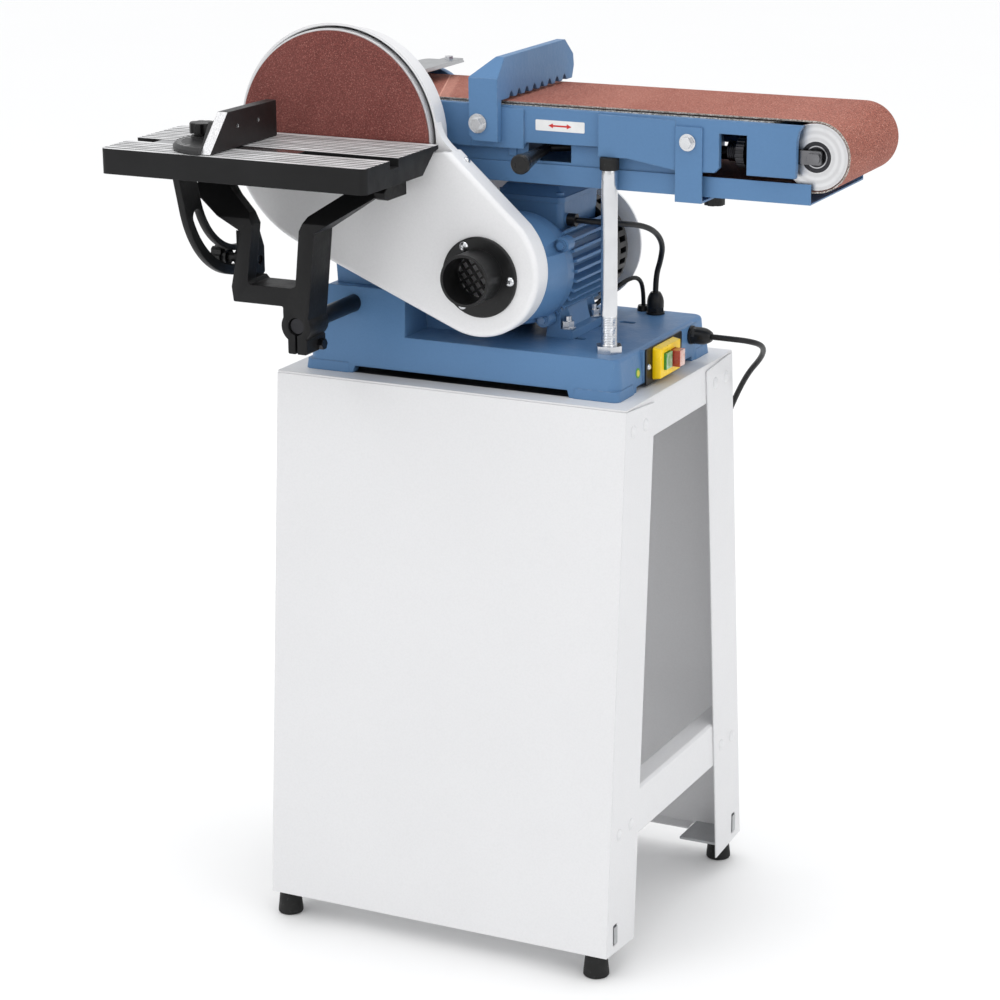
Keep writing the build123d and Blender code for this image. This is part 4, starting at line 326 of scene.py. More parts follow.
def abrasive(name, base, light, deep, fringe_y=None, joint_x=None, grit_scale=1500.0, glint=0.5):
    """Coated abrasive: grit of two sizes in resin, glinting specks, pale frayed backing along one edge."""
    m, nt, b = new_mat(name)
    v = coords(nt)
    grit = voronoi(nt, v, grit_scale, "Color")
    gv = nt.nodes.new("ShaderNodeSeparateColor")
    nt.links.new(grit, gv.inputs[0])
    coarse = noise(nt, v, grit_scale * 0.55, 3.0, 0.65)
    fine = noise(nt, v, grit_scale * 1.7, 2.0, 0.6)
    c = mixc(nt, ramp01(nt, coarse, 0.38, 0.64), deep, base)
    c = mixc(nt, mth(nt, "MULTIPLY", ramp01(nt, gv.outputs[0], 0.82, 0.98), glint), c, light)
    c = mixc(nt, mth(nt, "MULTIPLY", ramp01(nt, gv.outputs[1], 0.80, 0.95), glint), c, deep)
    c = mixc(nt, mth(nt, "MULTIPLY", ramp01(nt, fine, 0.5, 0.72), 0.25), c, toward(base, light, 0.6))
    wear = ramp01(nt, noise(nt, scaled(nt, v, (1.0, 0.35, 1.0)), 14.0, 3.0), 0.32, 0.7)
    c = mixc(nt, mth(nt, "MULTIPLY", wear, 0.16), c, toward(base, light, 0.5))
    x, y, z = xyz(nt, v)
    if joint_x is not None:
        # glued lap joint: a slanting pale line with a darker shoulder
        t = mth(nt, "SUBTRACT", mth(nt, "ADD", x, mth(nt, "MULTIPLY", y, 0.42)), joint_x)
        t = mth(nt, "ADD", t, mth(nt, "MULTIPLY", noise(nt, v, 120.0, 2.0), 0.0012))
        line = mth(nt, "MULTIPLY", ramp01(nt, t, -0.0012, 0.0, 0, 1), ramp01(nt, t, 0.0004, 0.0016, 1, 0))
        band = mth(nt, "MULTIPLY", ramp01(nt, t, -0.0005, 0.0005, 0, 1), ramp01(nt, t, 0.010, 0.016, 1, 0))
        top = ramp01(nt, z, 0.934, 0.937)
        c = mixc(nt, mth(nt, "MULTIPLY", mth(nt, "MULTIPLY", band, top), 0.30), c, toward(base, light, 0.8))
        c = mixc(nt, mth(nt, "MULTIPLY", mth(nt, "MULTIPLY", line, top), 0.55), c, light)
    if fringe_y is not None:
        rag = mth(nt, "MULTIPLY", noise(nt, v, 520.0, 3.0, 0.7), 0.0030)
        f = ramp01(nt, mth(nt, "ADD", y, rag), fringe_y + 0.0022, fringe_y + 0.0030, 1.0, 0.0)
        hair = ramp01(nt, noise(nt, v, 900.0, 2.0, 0.7), 0.42, 0.62)
        c = mixc(nt, f, c, mixc(nt, hair, (0.16, 0.13, 0.11), (0.62, 0.58, 0.54)))
    put(nt, b.inputs["Base Color"], c)
    b.inputs["Roughness"].default_value = 0.82
    b.inputs["Specular IOR Level"].default_value = 0.35
    h = mth(nt, "ADD", mth(nt, "MULTIPLY", coarse, 0.7), mth(nt, "MULTIPLY", fine, 0.4))
    nt.links.new(bump(nt, h, 0.00035, 0.9), b.inputs["Normal"])
    return m


BLUE = srgb(89, 127, 168)
BLK = (0.0085, 0.0085, 0.009)
PALE = toward(BLUE, (0.75, 0.82, 0.9), 0.35)
mat = {}
GREY = (0.725, 0.725, 0.735)
coated = dict(edge=0.12, edge_col=(0.9, 0.9, 0.9), round_mm=1.8, broad=0.012)
mat["stand"] = painted("light_grey_powder_coat", GREY, 0.38, 0.9, 0.02, **coated)
# near-black patch on the top plate inside the hollow under the base: painted shade for the dark gap below the base
shade_under_base = both(both(past(0, -174.0), past(0, 176.0, False)), both(past(1, -119.5), both(past(1, 125.5, False), past(2, 637.0))))
mat["stand_top"] = painted("grey_coat_painted_shade_under_base", GREY, 0.38, 0.9, 0.02, zone=shade_under_base, zone_col=(0.012, 0.012, 0.012), **coated)
mat["white"] = painted("white_powder_coat", (0.79, 0.79, 0.80), 0.34, 1.0, 0.02, edge=0.12, edge_col=(0.92, 0.92, 0.92), round_mm=1.4, broad=0.012, coat=0.1)
mat["cover_grey"] = painted("pale_grey_powder_coat", (0.80, 0.80, 0.81), 0.40, 0.9, 0.02, edge=0.1, round_mm=1.5, broad=0.02)
mat["blue_cast"] = painted("blue_paint_on_casting", BLUE, 0.38, 0.8, 0.03, cast_mm=5.5, cast_amt=0.38, edge=0.30, edge_col=PALE, round_mm=2.0, broad=0.06, coat=0.0, dust=0.0, spec=0.25)
mat["blue_sheet"] = painted("blue_paint_on_sheet", BLUE, 0.36, 0.9, 0.02, cast_mm=40.0, cast_amt=0.20, edge=0.25, edge_col=PALE, round_mm=1.0, broad=0.04, coat=0.0, spec=0.25)
motor = dict(cast_mm=4.0, cast_amt=0.22, edge=0.30, edge_col=PALE, round_mm=1.2, broad=0.06, coat=0.0, dust=0.0, spec=0.25, zone_col=(0.010, 0.010, 0.011))
mat["blue_motor"] = painted("blue_paint_on_motor", dark(BLUE, 1.0), 0.36, 0.8, 0.03, **motor)
mat["blue_shield"] = painted("blue_shield_and_black_cowl", dark(BLUE, 1.0), 0.36, 0.8, 0.03, zone=past(1, 52.0), **motor)
# the terminal box's blue is darkened to 85% as painted shade; the black at its cable entry is its own colour
mat["blue_box"] = painted("blue_box_painted_shade_and_black_entry", dark(BLUE, 0.85), 0.36, 0.8, 0.03, zone=both(past(0, 85.4), past(2, 822.0, False)), **motor)
mat["black_cast"] = painted("black_textured_paint", BLK, 0.42, 0.9, 0.06, cast_mm=4.5, cast_amt=0.28, edge=0.30, edge_col=(0.07, 0.07, 0.074), round_mm=1.6, broad=0.12, dust=0.03, spec=0.2)
mat["black_steel"] = metal("blackened_steel", (0.045, 0.045, 0.049), 0.36, "y", 0.7, 0.008, stain=0.2)
mat["carriage"] = metal("blackened_carriage_steel_axle", (0.040, 0.040, 0.044), 0.36, "y", 0.7, 0.008, stain=0.2, zone=both(past(1, -73.0, False), past(0, 370.0)), zone_col=(0.20, 0.20, 0.21))
mat["steel"] = metal("ground_steel", (0.56, 0.56, 0.57), 0.24, "y", 0.6, 0.006, spot=0.05)
mat["zinc"] = metal("bright_zinc_plate", (0.74, 0.75, 0.77), 0.20, None, 1.5, 0.004, round_mm=0.5, stain=0.10)
mat["galv"] = metal("dull_zinc_sheet", (0.50, 0.51, 0.52), 0.33, "y", 1.4, 0.008, spot=0.06)
mat["spring"] = metal("spring_wire", (0.035, 0.035, 0.04), 0.30, None, 0.8, 0.004)
mat["drum"] = turned("turned_aluminium_idler", (0.74, 0.74, 0.75), 0.34, P(385.0, 0, 904.6))
mat["plate"] = turned("turned_aluminium_disc_plate", (0.74, 0.74, 0.75), 0.34, P(-137.4, 0, 900.8))
mat["bearing"] = turned("sealed_bearing", (0.05, 0.05, 0.055), 0.35, P(385.0, 0, 904.6), 3.0, 0.05, bright=(0.0106, 0.0116, (0.6, 0.6, 0.62)))
mat["black_plastic"] = plastic("moulded_black_plastic", (0.010, 0.010, 0.0105), 0.34, 0.8, 0.02, scuff=0.06, spec=0.3)
mat["knob"] = plastic("knob_black_plastic", (0.009, 0.009, 0.0095), 0.30, 0.9, 0.015, scuff=0.05, spec=0.3)
mat["rubber"] = plastic("black_rubber", (0.012, 0.012, 0.012), 0.60, 0.8, 0.03, scuff=0.15, spec=0.3)
mat["cord"] = plastic("cable_sheath", (0.009, 0.009, 0.0095), 0.38, 0.9, 0.012, scuff=0.05, spec=0.3)
mat["yellow"] = plastic("yellow_moulding", srgb(255, 212, 4), 0.30, 0.9, 0.01, scuff=0.03)
mat["disc"] = abrasive("abrasive_disc_grit", srgb(132, 70, 64), srgb(180, 120, 110), srgb(92, 46, 42), grit_scale=1300.0, glint=0.6)
mat["belt"] = abrasive("abrasive_belt_grit", srgb(172, 100, 84), srgb(228, 172, 154), srgb(108, 56, 46), fringe_y=(-68.0 + OY) / 1000.0, joint_x=(-52.0 + OX) / 1000.0, grit_scale=1250.0, glint=0.6)


def table_material():
    """Black painted casting whose top is planed bright, with dark grooves and pits."""
    m, nt, b = new_mat("planed_table_casting")
    v = coords(nt)
    x, y, z = xyz(nt, v)
    nz = xyz(nt, own_normal(nt))[2]
    top = mth(nt, "MULTIPLY", ramp01(nt, z, 0.90150, 0.90185), ramp01(nt, nz, 0.80, 0.92))
    streak = noise(nt, scaled(nt, v, (0.03, 1.0, 1.0)), 420.0, 4.0, 0.6)
    pits = noise(nt, v, 420.0, 4.0, 0.7)
    silver = mixc(nt, ramp01(nt, streak, 0.35, 0.65), (0.40, 0.40, 0.405), (0.94, 0.94, 0.95))
    silver = mixc(nt, mth(nt, "MULTIPLY", ramp01(nt, pits, 0.60, 0.72), 0.5), silver, (0.12, 0.12, 0.125))
    smear = ramp01(nt, noise(nt, v, 22.0, 4.0), 0.48, 0.7)
    silver = mixc(nt, mth(nt, "MULTIPLY", smear, 0.2), silver, (0.30, 0.30, 0.31))
    blk = mixc(nt, ramp01(nt, noise(nt, v, 9.0, 3.0), 0.3, 0.7), dark(BLK, 0.85), dark(BLK, 1.4))
    worn = mth(nt, "MULTIPLY", edge_mask(nt, 0.0014), ramp01(nt, noise(nt, v, 130.0, 4.0), 0.42, 0.66))
    blk = mixc(nt, mth(nt, "MULTIPLY", worn, 0.5), blk, (0.10, 0.10, 0.104))
    put(nt, b.inputs["Base Color"], mixc(nt, top, blk, silver))
    put(nt, b.inputs["Metallic"], mth(nt, "MULTIPLY", top, 0.3))
    put(nt, b.inputs["Roughness"], mixf(nt, top, ramp01(nt, noise(nt, v, 60.0, 4.0), 0.25, 0.75, 0.40, 0.54), ramp01(nt, streak, 0.2, 0.8, 0.40, 0.50)))
    h = mixf(nt, top, noise(nt, v, 320.0, 3.0, 0.6), streak)
    b.inputs["Specular IOR Level"].default_value = 0.2
    nt.links.new(bump(nt, h, 0.00008, 0.8, bevel_normal(nt, 0.0012)), b.inputs["Normal"])
    return m


mat["table"] = table_material()


def fence_material():
    """Black mitre fence with bare milled ends and top edge."""
    m, nt, b = new_mat("mitre_fence_black_and_milled")
    v = coords(nt)
    x, y, z = xyz(nt, v)
    nx, ny, nz = xyz(nt, own_normal(nt))
    milled = ramp01(nt, ny, -0.5, -0.62)
    rub = mth(nt, "MULTIPLY", edge_mask(nt, 0.0012), 0.6)
    tool = noise(nt, scaled(nt, v, (1.0, 1.0, 0.05)), 900.0, 3.0)
    bare = mixc(nt, ramp01(nt, tool, 0.3, 0.7), (0.62, 0.62, 0.63), (0.86, 0.86, 0.87))
    blk = mixc(nt, ramp01(nt, noise(nt, v, 12.0, 3.0), 0.3, 0.7), dark(BLK, 0.8), dark(BLK, 1.3))
    blk = mixc(nt, rub, blk, (0.16, 0.16, 0.165))
    put(nt, b.inputs["Base Color"], mixc(nt, milled, blk, bare))
    put(nt, b.inputs["Metallic"], mth(nt, "MULTIPLY", milled, 0.9))
    put(nt, b.inputs["Roughness"], mixf(nt, milled, ramp01(nt, noise(nt, v, 60.0, 4.0), 0.25, 0.75, 0.38, 0.50), 0.36))
    nt.links.new(bump(nt, mixf(nt, milled, noise(nt, v, 420.0, 3.0), tool), 0.0001, 0.8, bevel_normal(nt, 0.0010)), b.inputs["Normal"])
    return m


mat["mitre_fence"] = fence_material()


def head_material():
    """Dark die-cast mitre head with rubbed edges."""
    return painted("dark_die_casting", (0.020, 0.020, 0.021), 0.38, 0.8, 0.03, cast_mm=4.0, cast_amt=0.2, edge=0.5, edge_col=(0.22, 0.22, 0.23), round_mm=0.9, broad=0.12, spec=0.36)


mat["mitre_head"] = head_material()


def platen_material():
    """Graphite-faced pad under the belt: pale and dark grains pressed together."""
    m, nt, b = new_mat("graphite_pad_edge")
    v = coords(nt)
    gv = nt.nodes.new("ShaderNodeSeparateColor")
    nt.links.new(voronoi(nt, v, 900.0, "Color"), gv.inputs[0])
    c = mixc(nt, ramp01(nt, gv.outputs[0], 0.25, 0.8), (0.30, 0.29, 0.27), (0.80, 0.78, 0.74))
    c = mixc(nt, mth(nt, "MULTIPLY", ramp01(nt, noise(nt, v, 1500.0, 2.0), 0.5, 0.7), 0.5), c, (0.32, 0.31, 0.29))
    put(nt, b.inputs["Base Color"], c)
    b.inputs["Roughness"].default_value = 0.85
    nt.links.new(bump(nt, gv.outputs[1], 0.0004, 0.8), b.inputs["Normal"])
    return m


mat["platen"] = platen_material()


def button_material(name, side, face):
    """Moulded key with a pale clear cap over its face."""
    m, nt, b = new_mat(name)
    v = coords(nt)
    x, y, z = xyz(nt, v)
    g = nt.nodes.new("ShaderNodeNewGeometry")
    nx = xyz(nt, g.outputs["True Normal"])[0]
    f = ramp01(nt, nx, 0.6, 0.9)
    mott = ramp01(nt, noise(nt, v, 160.0, 4.0), 0.35, 0.68)
    c = mixc(nt, f, side, mixc(nt, mott, face, toward(face, (0.85, 0.85, 0.82), 0.35)))
    put(nt, b.inputs["Base Color"], c)
    put(nt, b.inputs["Roughness"], ramp01(nt, noise(nt, v, 90.0, 3.0), 0.3, 0.7, 0.18, 0.34))
    b.inputs["Subsurface Weight"].default_value = 0.15
    b.inputs["Subsurface Radius"].default_value = (0.002, 0.002, 0.002)
    b.inputs["Coat Weight"].default_value = 0.5
    b.inputs["Coat Roughness"].default_value = 0.08
    nt.links.new(bump(nt, noise(nt, v, 300.0, 2.0), 0.00005, 0.7, bevel_normal(nt, 0.0006)), b.inputs["Normal"])
    return m


mat["green"] = button_material("green_key", srgb(40, 140, 60), srgb(120, 178, 120))
mat["red"] = button_material("red_key", srgb(170, 60, 45), srgb(205, 150, 132))


def fastener_material():
    """Zinc fasteners; the domed heads on the stand carry the stand's own coat."""
    m, nt, b = new_mat("fasteners_zinc_and_coated")
    v = coords(nt)
    x, y, z = xyz(nt, v)
    coat = mth(nt, "MULTIPLY", ramp01(nt, z, 0.628, 0.632, 1.0, 0.0), ramp01(nt, mth(nt, "ABSOLUTE", mth(nt, "SUBTRACT", x, OX / 1000.0)), 0.205, 0.209))
    zc = mixc(nt, ramp01(nt, noise(nt, v, 60.0, 3.0), 0.3, 0.72), (0.58, 0.59, 0.61), (0.68, 0.69, 0.71))
    c = mixc(nt, coat, zc, mixc(nt, ramp01(nt, noise(nt, v, 90.0, 3.0), 0.3, 0.7), (0.70, 0.70, 0.71), (0.76, 0.76, 0.77)))
    # the screws of the motor shield are painted over with the motor
    motor_y = mth(nt, "MULTIPLY", ramp01(nt, y, (-75.3 + OY) / 1000.0, (-74.7 + OY) / 1000.0), ramp01(nt, y, (-60.3 + OY) / 1000.0, (-59.7 + OY) / 1000.0, 1.0, 0.0))
    over = mth(nt, "MULTIPLY", motor_y, ramp01(nt, z, 0.695, 0.697))
    c = mixc(nt, over, c, mixc(nt, ramp01(nt, noise(nt, v, 80.0, 3.0), 0.3, 0.7), dark(BLUE, 0.85), BLUE))
    put(nt, b.inputs["Base Color"], c)
    put(nt, b.inputs["Metallic"], mth(nt, "MULTIPLY", mth(nt, "SUBTRACT", 1.0, coat), mth(nt, "SUBTRACT", 1.0, over)))
    put(nt, b.inputs["Roughness"], mixf(nt, coat, ramp01(nt, noise(nt, v, 60.0, 3.0), 0.3, 0.7, 0.18, 0.26), 0.38))
    nt.links.new(bump(nt, noise(nt, v, 700.0, 2.0), 0.000004, 0.7, bevel_normal(nt, 0.0005)), b.inputs["Normal"])
    return m


mat["fasteners"] = fastener_material()

ASSIGN = {
    "stand": ["stand_front_panel", "stand_rear_panel", "side_braces"],
    "stand_top": ["stand_top_plate"],
    "galv": ["foot_brackets", "drum_guard"],
    "rubber": ["rubber_feet", "v_belt", "post_cap"],
    "blue_cast": ["base_casting", "shaft_bracket", "arm_casting", "backstop_fence"],
    "blue_sheet": ["lower_guard"],
    "blue_motor": ["motor_body"],
    "blue_shield": ["motor_end_shields"],
    "blue_box": ["terminal_box"],
    "white": ["disc_housing", "disc_cover"],
    "cover_grey": ["belt_cover"],
    "black_plastic": ["dust_port", "switch_plate", "cable_glands", "power_plug"],
    "zinc": ["arm_bolts", "support_post"],
    "fasteners": ["fasteners"],
    "steel": ["main_shaft", "motor_rotor", "motor_pulley", "driven_pulley", "mitre_bar", "shaft_bearings"],
    "black_steel": ["table_rod", "tracking_wheel", "yoke_bolts"],
    "carriage": ["idler_carriage"],
    "drum": ["idler_drum"],
    "plate": ["disc_plate", "drive_drum"],
    "bearing": ["idler_bearings"],
    "platen": ["platen"],
    "belt": ["sanding_belt"],
    "disc": ["sanding_disc"],
    "spring": ["tracking_spring"],
    "knob": ["guard_knob", "tension_lever", "tilt_lock_knob", "mitre_knob"],
    "black_cast": ["table_yoke", "tilt_quadrant"],
    "table": ["table"],
    "mitre_head": ["mitre_head"],
    "mitre_fence": ["mitre_fence"],
    "yellow": ["switch_housing"],
    "green": ["on_button"],
    "red": ["off_button"],
    "cord": ["motor_leads", "power_cord", "power_cord_coil"],
}
for key, names in ASSIGN.items():
    for n in names:
        o = nodes[n]
        o.data.materials.clear()
        o.data.materials.append(mat[key])
left = set(nodes) - {n for ns in ASSIGN.values() for n in ns}
if left:
    raise RuntimeError("no material: " + ", ".join(sorted(left)))


# ------------------------------------------------------------------ mesh helpers
def piece(name, verts, faces, material, body, sharp=35.0):
    me = bpy.data.meshes.new(name)
    me.from_pydata([tuple(v) for v in verts], [], faces)
    me.validate()
    me.update()
    for p in me.polygons:
        p.use_smooth = True
    me.set_sharp_from_angle(angle=radians(sharp))
    ob = bpy.data.objects.new(name, me)
    scene.collection.objects.link(ob)
    me.materials.append(material)
    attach(ob, body)
    return ob


def tube_mesh(points, r, seg=12, close=True):
    """Round tube along points, with end caps."""
    pts = [Vector(p) for p in points]
    t = [(pts[min(i + 1, len(pts) - 1)] - pts[max(i - 1, 0)]).normalized() for i in range(len(pts))]
    n = t[0].orthogonal().normalized()
    verts, faces = [], []
    for i, p in enumerate(pts):
        n = (n - t[i] * n.dot(t[i])).normalized()
        bn = t[i].cross(n)
        for k in range(seg):
            a = 2 * pi * k / seg
            verts.append(p + (n * cos(a) + bn * sin(a)) * r)
    for i in range(len(pts) - 1):
        for k in range(seg):
            k2 = (k + 1) % seg
            faces.append((i * seg + k, i * seg + k2, (i + 1) * seg + k2, (i + 1) * seg + k))
    faces.append(tuple(reversed(range(seg))))
    faces.append(tuple((len(pts) - 1) * seg + k for k in range(seg)))
    return verts, faces


def prism(outline, place, h, chamfer=0.0):
    """Closed slab: outline in local u, v; place(u, v, w) gives the row frame point; optional bevelled top edge."""
    def ring(w, inset):
        n = len(outline)
        out = []
        for i in range(n):
            a, b, c = (Vector(outline[(i + k) % n]) for k in (-1, 0, 1))
            if inset:
                e1, e2 = (b - a).normalized(), (c - b).normalized()
                n1, n2 = Vector((-e1.y, e1.x)), Vector((-e2.y, e2.x))
                k = 1.0 + n1.dot(n2)
                b = b + (n1 + n2) * (inset / max(k, 0.3))
            out.append(place(b.x, b.y, w))
        return out
    n = len(outline)
    rings = [ring(0, 0), ring(h - chamfer, 0)] + ([ring(h, chamfer)] if chamfer > 0 else [])
    verts = [p for r in rings for p in r]
    faces = []
    for j in range(len(rings) - 1):
        for i in range(n):
            i2 = (i + 1) % n
            faces.append((j * n + i, j * n + i2, (j + 1) * n + i2, (j + 1) * n + i))
    faces.append(tuple(reversed(range(n))))
    faces.append(tuple((len(rings) - 1) * n + i for i in range(n)))
    return verts, faces


def join(*parts):
    verts, faces = [], []
    for v, f in parts:
        k = len(verts)
        verts += list(v)
        faces += [tuple(i + k for i in q) for q in f]
    return verts, faces


def soft_edges(name, width_mm, segs=2, angle=32.0):
    """Small rounded edges on a carried-over part."""
    o = nodes[name]
    w = o.modifiers.new("weld", "WELD")
    w.merge_threshold = 0.00002
    d = o.modifiers.new("flat", "DECIMATE")
    d.decimate_type = "DISSOLVE"
    d.angle_limit = radians(0.6)
    b = o.modifiers.new("edges", "BEVEL")
    b.width = width_mm / 1000.0
    b.segments = segs
    b.limit_method = "ANGLE"
    b.angle_limit = radians(angle)
    b.use_clamp_overlap = True
    b.miter_outer = "MITER_ARC"
    b.harden_normals = True


# ------------------------------------------------------------------ cords
def nurbs(name, pts, r, body):
    cu = bpy.data.curves.new(name, "CURVE")
    cu.dimensions = "3D"
    cu.bevel_depth = r
    cu.bevel_resolution = 5
    cu.resolution_u = 10
    cu.use_fill_caps = True
    sp = cu.splines.new("NURBS")
    sp.points.add(len(pts) - 1)
    for q, p in zip(sp.points, pts):
        q.co = (p[0], p[1], p[2], 1.0)
    sp.order_u = 3
    sp.use_endpoint_u = True
    sp.use_smooth = True
    ob = bpy.data.objects.new(name, cu)
    scene.collection.objects.link(ob)
    cu.materials.append(mat["cord"])
    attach(ob, body)
    return ob


LEAD_A = [(89, -20, 808), (116, -20, 808), (137, 0, 804), (147, 34, 797), (151, 65, 785), (150, 89, 766), (142, 102, 745), (135, 104, 725), (135, 104, 703)]
LEAD_B = [(84, 46, 697), (99, 62, 712), (109, 82, 723), (114, 102, 723), (116, 114, 709), (116, 114, 686)]
CORD = [(211, 76, 669), (237, 76, 669), (257, 93, 664), (260, 120, 653), (248, 147, 634), (223, 163, 607), (197, 182, 562), (169, 197, 500), (139, 211, 426),
        (107, 224, 344), (73, 235, 256), (37, 243, 166), (3, 246, 88), (-27, 243, 32), (-61, 236, 8.5), (-97, 231, 3.6)]

lead_a = nurbs("motor_lead", [P(*p) for p in LEAD_A], 0.0032, "stand")
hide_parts("motor_leads")
lead_b = nurbs("motor_lead_lower", [P(*p) for p in LEAD_B], 0.0025, "stand")
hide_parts("motor_leads")


def ease(t):
    t = min(1.0, max(0.0, t))
    return t * t * (3 - 2 * t)


def coil_points():
    """Four turns wound clockwise in two layers, the last half turn on top, then straight into the plug."""
    out = []
    n = 16
    for k in range(0, int(4.0 * n) + 1):
        s = k / n
        a = radians(-90.0) - 2 * pi * s
        r = 42.6 - 7.2 * ease((s - 0.70) / 0.25) + 7.2 * ease((s - 2.45) / 0.25)
        z = 3.45 + 6.8 * ease((s - 1.62) / 0.25) + 6.6 * ease((s - 3.36) / 0.26)
        r /= 0.981
        out.append((-130.0 + r * cos(a), 270.0 + r * sin(a), z))
    return out


PLUG_IN = (-171.0, 227.0, 18.5)
cord_pts = CORD + coil_points() + [(-146.0, 227.2, 17.6), (-158.0, 227.0, 18.4), PLUG_IN]
cord = nurbs("mains_cord", [P(*p) for p in cord_pts], 0.0032, "stand")
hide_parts("power_cord", "power_cord_coil")


def coil_tie():
    """Strap round the bundle of the coil, with its loose tail."""
    a = radians(158.0)
    er, et = Vector((cos(a), sin(a), 0.0)), Vector((-sin(a), cos(a), 0.0))

    def loop(r0, z0, r1, z1, rad):
        out = []
        for cr, cz, a0 in ((r1 - rad, z1 - rad, 0), (r0 + rad, z1 - rad, 90), (r0 + rad, z0 + rad, 180), (r1 - rad, z0 + rad, 270)):
            for k in range(7):
                t = radians(a0 + 90.0 * k / 6)
                out.append((cr + rad * cos(t), cz + rad * sin(t)))
        return out
    outer, inner = loop(31.9, 0.1, 47.6, 14.6, 4.6), loop(32.8, 0.9, 46.7, 13.8, 3.8)
    n = len(outer)

    def at(q, w):
        c = er * q[0] + et * w
        return P(-130.0 + c.x, 270.0 + c.y, q[1])
    verts, faces = [], []
    for ring, w in ((outer, -4.0), (outer, 4.0), (inner, 4.0), (inner, -4.0)):
        verts += [at(q, w) for q in ring]
    for j in range(4):
        for i in range(n):
            i2, j2 = (i + 1) % n, (j + 1) % 4
            faces.append((j * n + i, j2 * n + i, j2 * n + i2, j * n + i2))
    # tail standing off the top of the loop
    tail = [(39.0, 14.5), (43.5, 15.1), (47.5, 17.2), (49.2, 18.6), (48.6, 19.2), (46.8, 17.9), (43.2, 15.9), (39.0, 15.4)]
    k = len(verts)
    m = len(tail)
    for w in (-3.6, 3.6):
        verts += [at(q, w) for q in tail]
    for i in range(m):
        i2 = (i + 1) % m
        faces.append((k + i, k + i2, k + m + i2, k + m + i))
    faces.append(tuple(k + i for i in reversed(range(m))))
    faces.append(tuple(k + m + i for i in range(m)))
    return piece("cord_tie", verts, faces, mat["rubber"], "stand")


tie = coil_tie()

# ------------------------------------------------------------------ tracking spring
turns, wire = 4.2, 1.25
hel = []
for k in range(int(turns * 26) + 1):
    a = 2 * pi * k / 26
    x = 286.4 + (296.6 - 286.4) * k / (turns * 26)
    hel.append(P(x, -56 + 9.4 * cos(a), 903 + 9.4 * sin(a)))
v, f = tube_mesh(hel, wire / 1000.0, 10)
spring = piece("tracking_spring_coil", v, f, mat["spring"], "carriage")
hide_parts("tracking_spring")


# ------------------------------------------------------------------ support post with its threaded foot
def threaded_post():
    cx, cy = 162.0, -83.0
    seg = 44
    zs = [682.0]
    z = 682.0
    while z < 724.0:
        z += 0.3
        zs.append(z)
    zs += [726.0, 760.0, 800.0, 840.0, 872.0, 888.0, 888.6]
    verts, faces = [], []
    for z in zs:
        for k in range(seg):
            a = 2 * pi * k / seg
            r = 8.8
            if 690.5 < z < 722.5:
                ph = (z / 1.75 - k / seg) % 1.0
                depth = 0.75 * min(1.0, (z - 690.5) / 1.5, (722.5 - z) / 2.5)
                r -= depth * (1.0 - abs(2 * ph - 1.0))
            if z > 888.3:
                r = 8.2
            verts.append(P(cx + r * cos(a), cy + r * sin(a), z))
    for i in range(len(zs) - 1):
        for k in range(seg):
            k2 = (k + 1) % seg
            faces.append((i * seg + k, i * seg + k2, (i + 1) * seg + k2, (i + 1) * seg + k))
    faces.append(tuple(reversed(range(seg))))
    faces.append(tuple((len(zs) - 1) * seg + k for k in range(seg)))
    ob = piece("support_post_threaded", verts, faces, mat["zinc"], "stand", sharp=50)
    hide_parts("support_post")


threaded_post()


# ------------------------------------------------------------------ small plates and marks
def label_material(name, col, rough=0.35):
    m, nt, b = new_mat(name)
    v = coords(nt)
    c = mixc(nt, ramp01(nt, noise(nt, v, 80.0, 4.0), 0.3, 0.7), dark(col, 0.93), col)
    put(nt, b.inputs["Base Color"], c)
    put(nt, b.inputs["Roughness"], ramp01(nt, noise(nt, v, 120.0, 3.0), 0.3, 0.7, rough - 0.05, rough + 0.08))
    nt.links.new(bump(nt, noise(nt, v, 900.0, 2.0), 0.00002, 0.6), b.inputs["Normal"])
    return m


mat["label_white"] = label_material("label_film_white", (0.80, 0.80, 0.80))
mat["label_red"] = label_material("label_print_red", srgb(200, 40, 38))
mat["label_green"] = label_material("mark_green", srgb(70, 150, 60))
mat["label_yellow"] = label_material("mark_yellow", srgb(214, 205, 60))


def rounded(u0, v0, u1, v1, r, n=5):
    out = []
    for cx, cy, a0 in ((u1 - r, v1 - r, 0), (u0 + r, v1 - r, 90), (u0 + r, v0 + r, 180), (u1 - r, v0 + r, 270)):
        for k in range(n + 1):
            a = radians(a0 + 90.0 * k / n)
            out.append((cx + r * cos(a), cy + r * sin(a)))
    return out


# plate beside the tension lever with a two-headed arrow
front = lambda y: (lambda u, v, w: P(u, y - w, v))
v, f = prism(rounded(75, 914, 132, 925.5, 1.2), front(-80.0), 0.35, 0.12)
piece("lever_plate", v, f, mat["label_white"], "arm")
arrow = [(90, 919.8), (95.5, 917.2), (95.5, 918.9), (111.5, 918.9), (111.5, 917.2), (117, 919.8), (111.5, 922.4), (111.5, 920.7), (95.5, 920.7), (95.5, 922.4)]
v, f = prism(arrow, front(-80.34), 0.12)
piece("lever_plate_arrow", v, f, mat["label_red"], "arm")

# earth mark on the side of the base: a ring and its centre
ct, st = cos(radians(5)), sin(radians(5))


def side(u, v, w):
    return P(188.32 + w * ct - v * st, -66 + u, 657.5 + v * ct + w * st)


ring = [(5.6 * cos(2 * pi * k / 28), 5.6 * sin(2 * pi * k / 28)) for k in range(28)]
dot = [(3.5 * cos(2 * pi * k / 24), 3.5 * sin(2 * pi * k / 24)) for k in range(24)]
v, f = prism(ring, side, 0.4, 0.15)
piece("earth_mark", v, f, mat["label_green"], "stand")
v, f = prism(dot, lambda u, v, w: side(u, v, w + 0.4), 0.15, 0.05)
piece("earth_mark_centre", v, f, mat["label_yellow"], "stand")
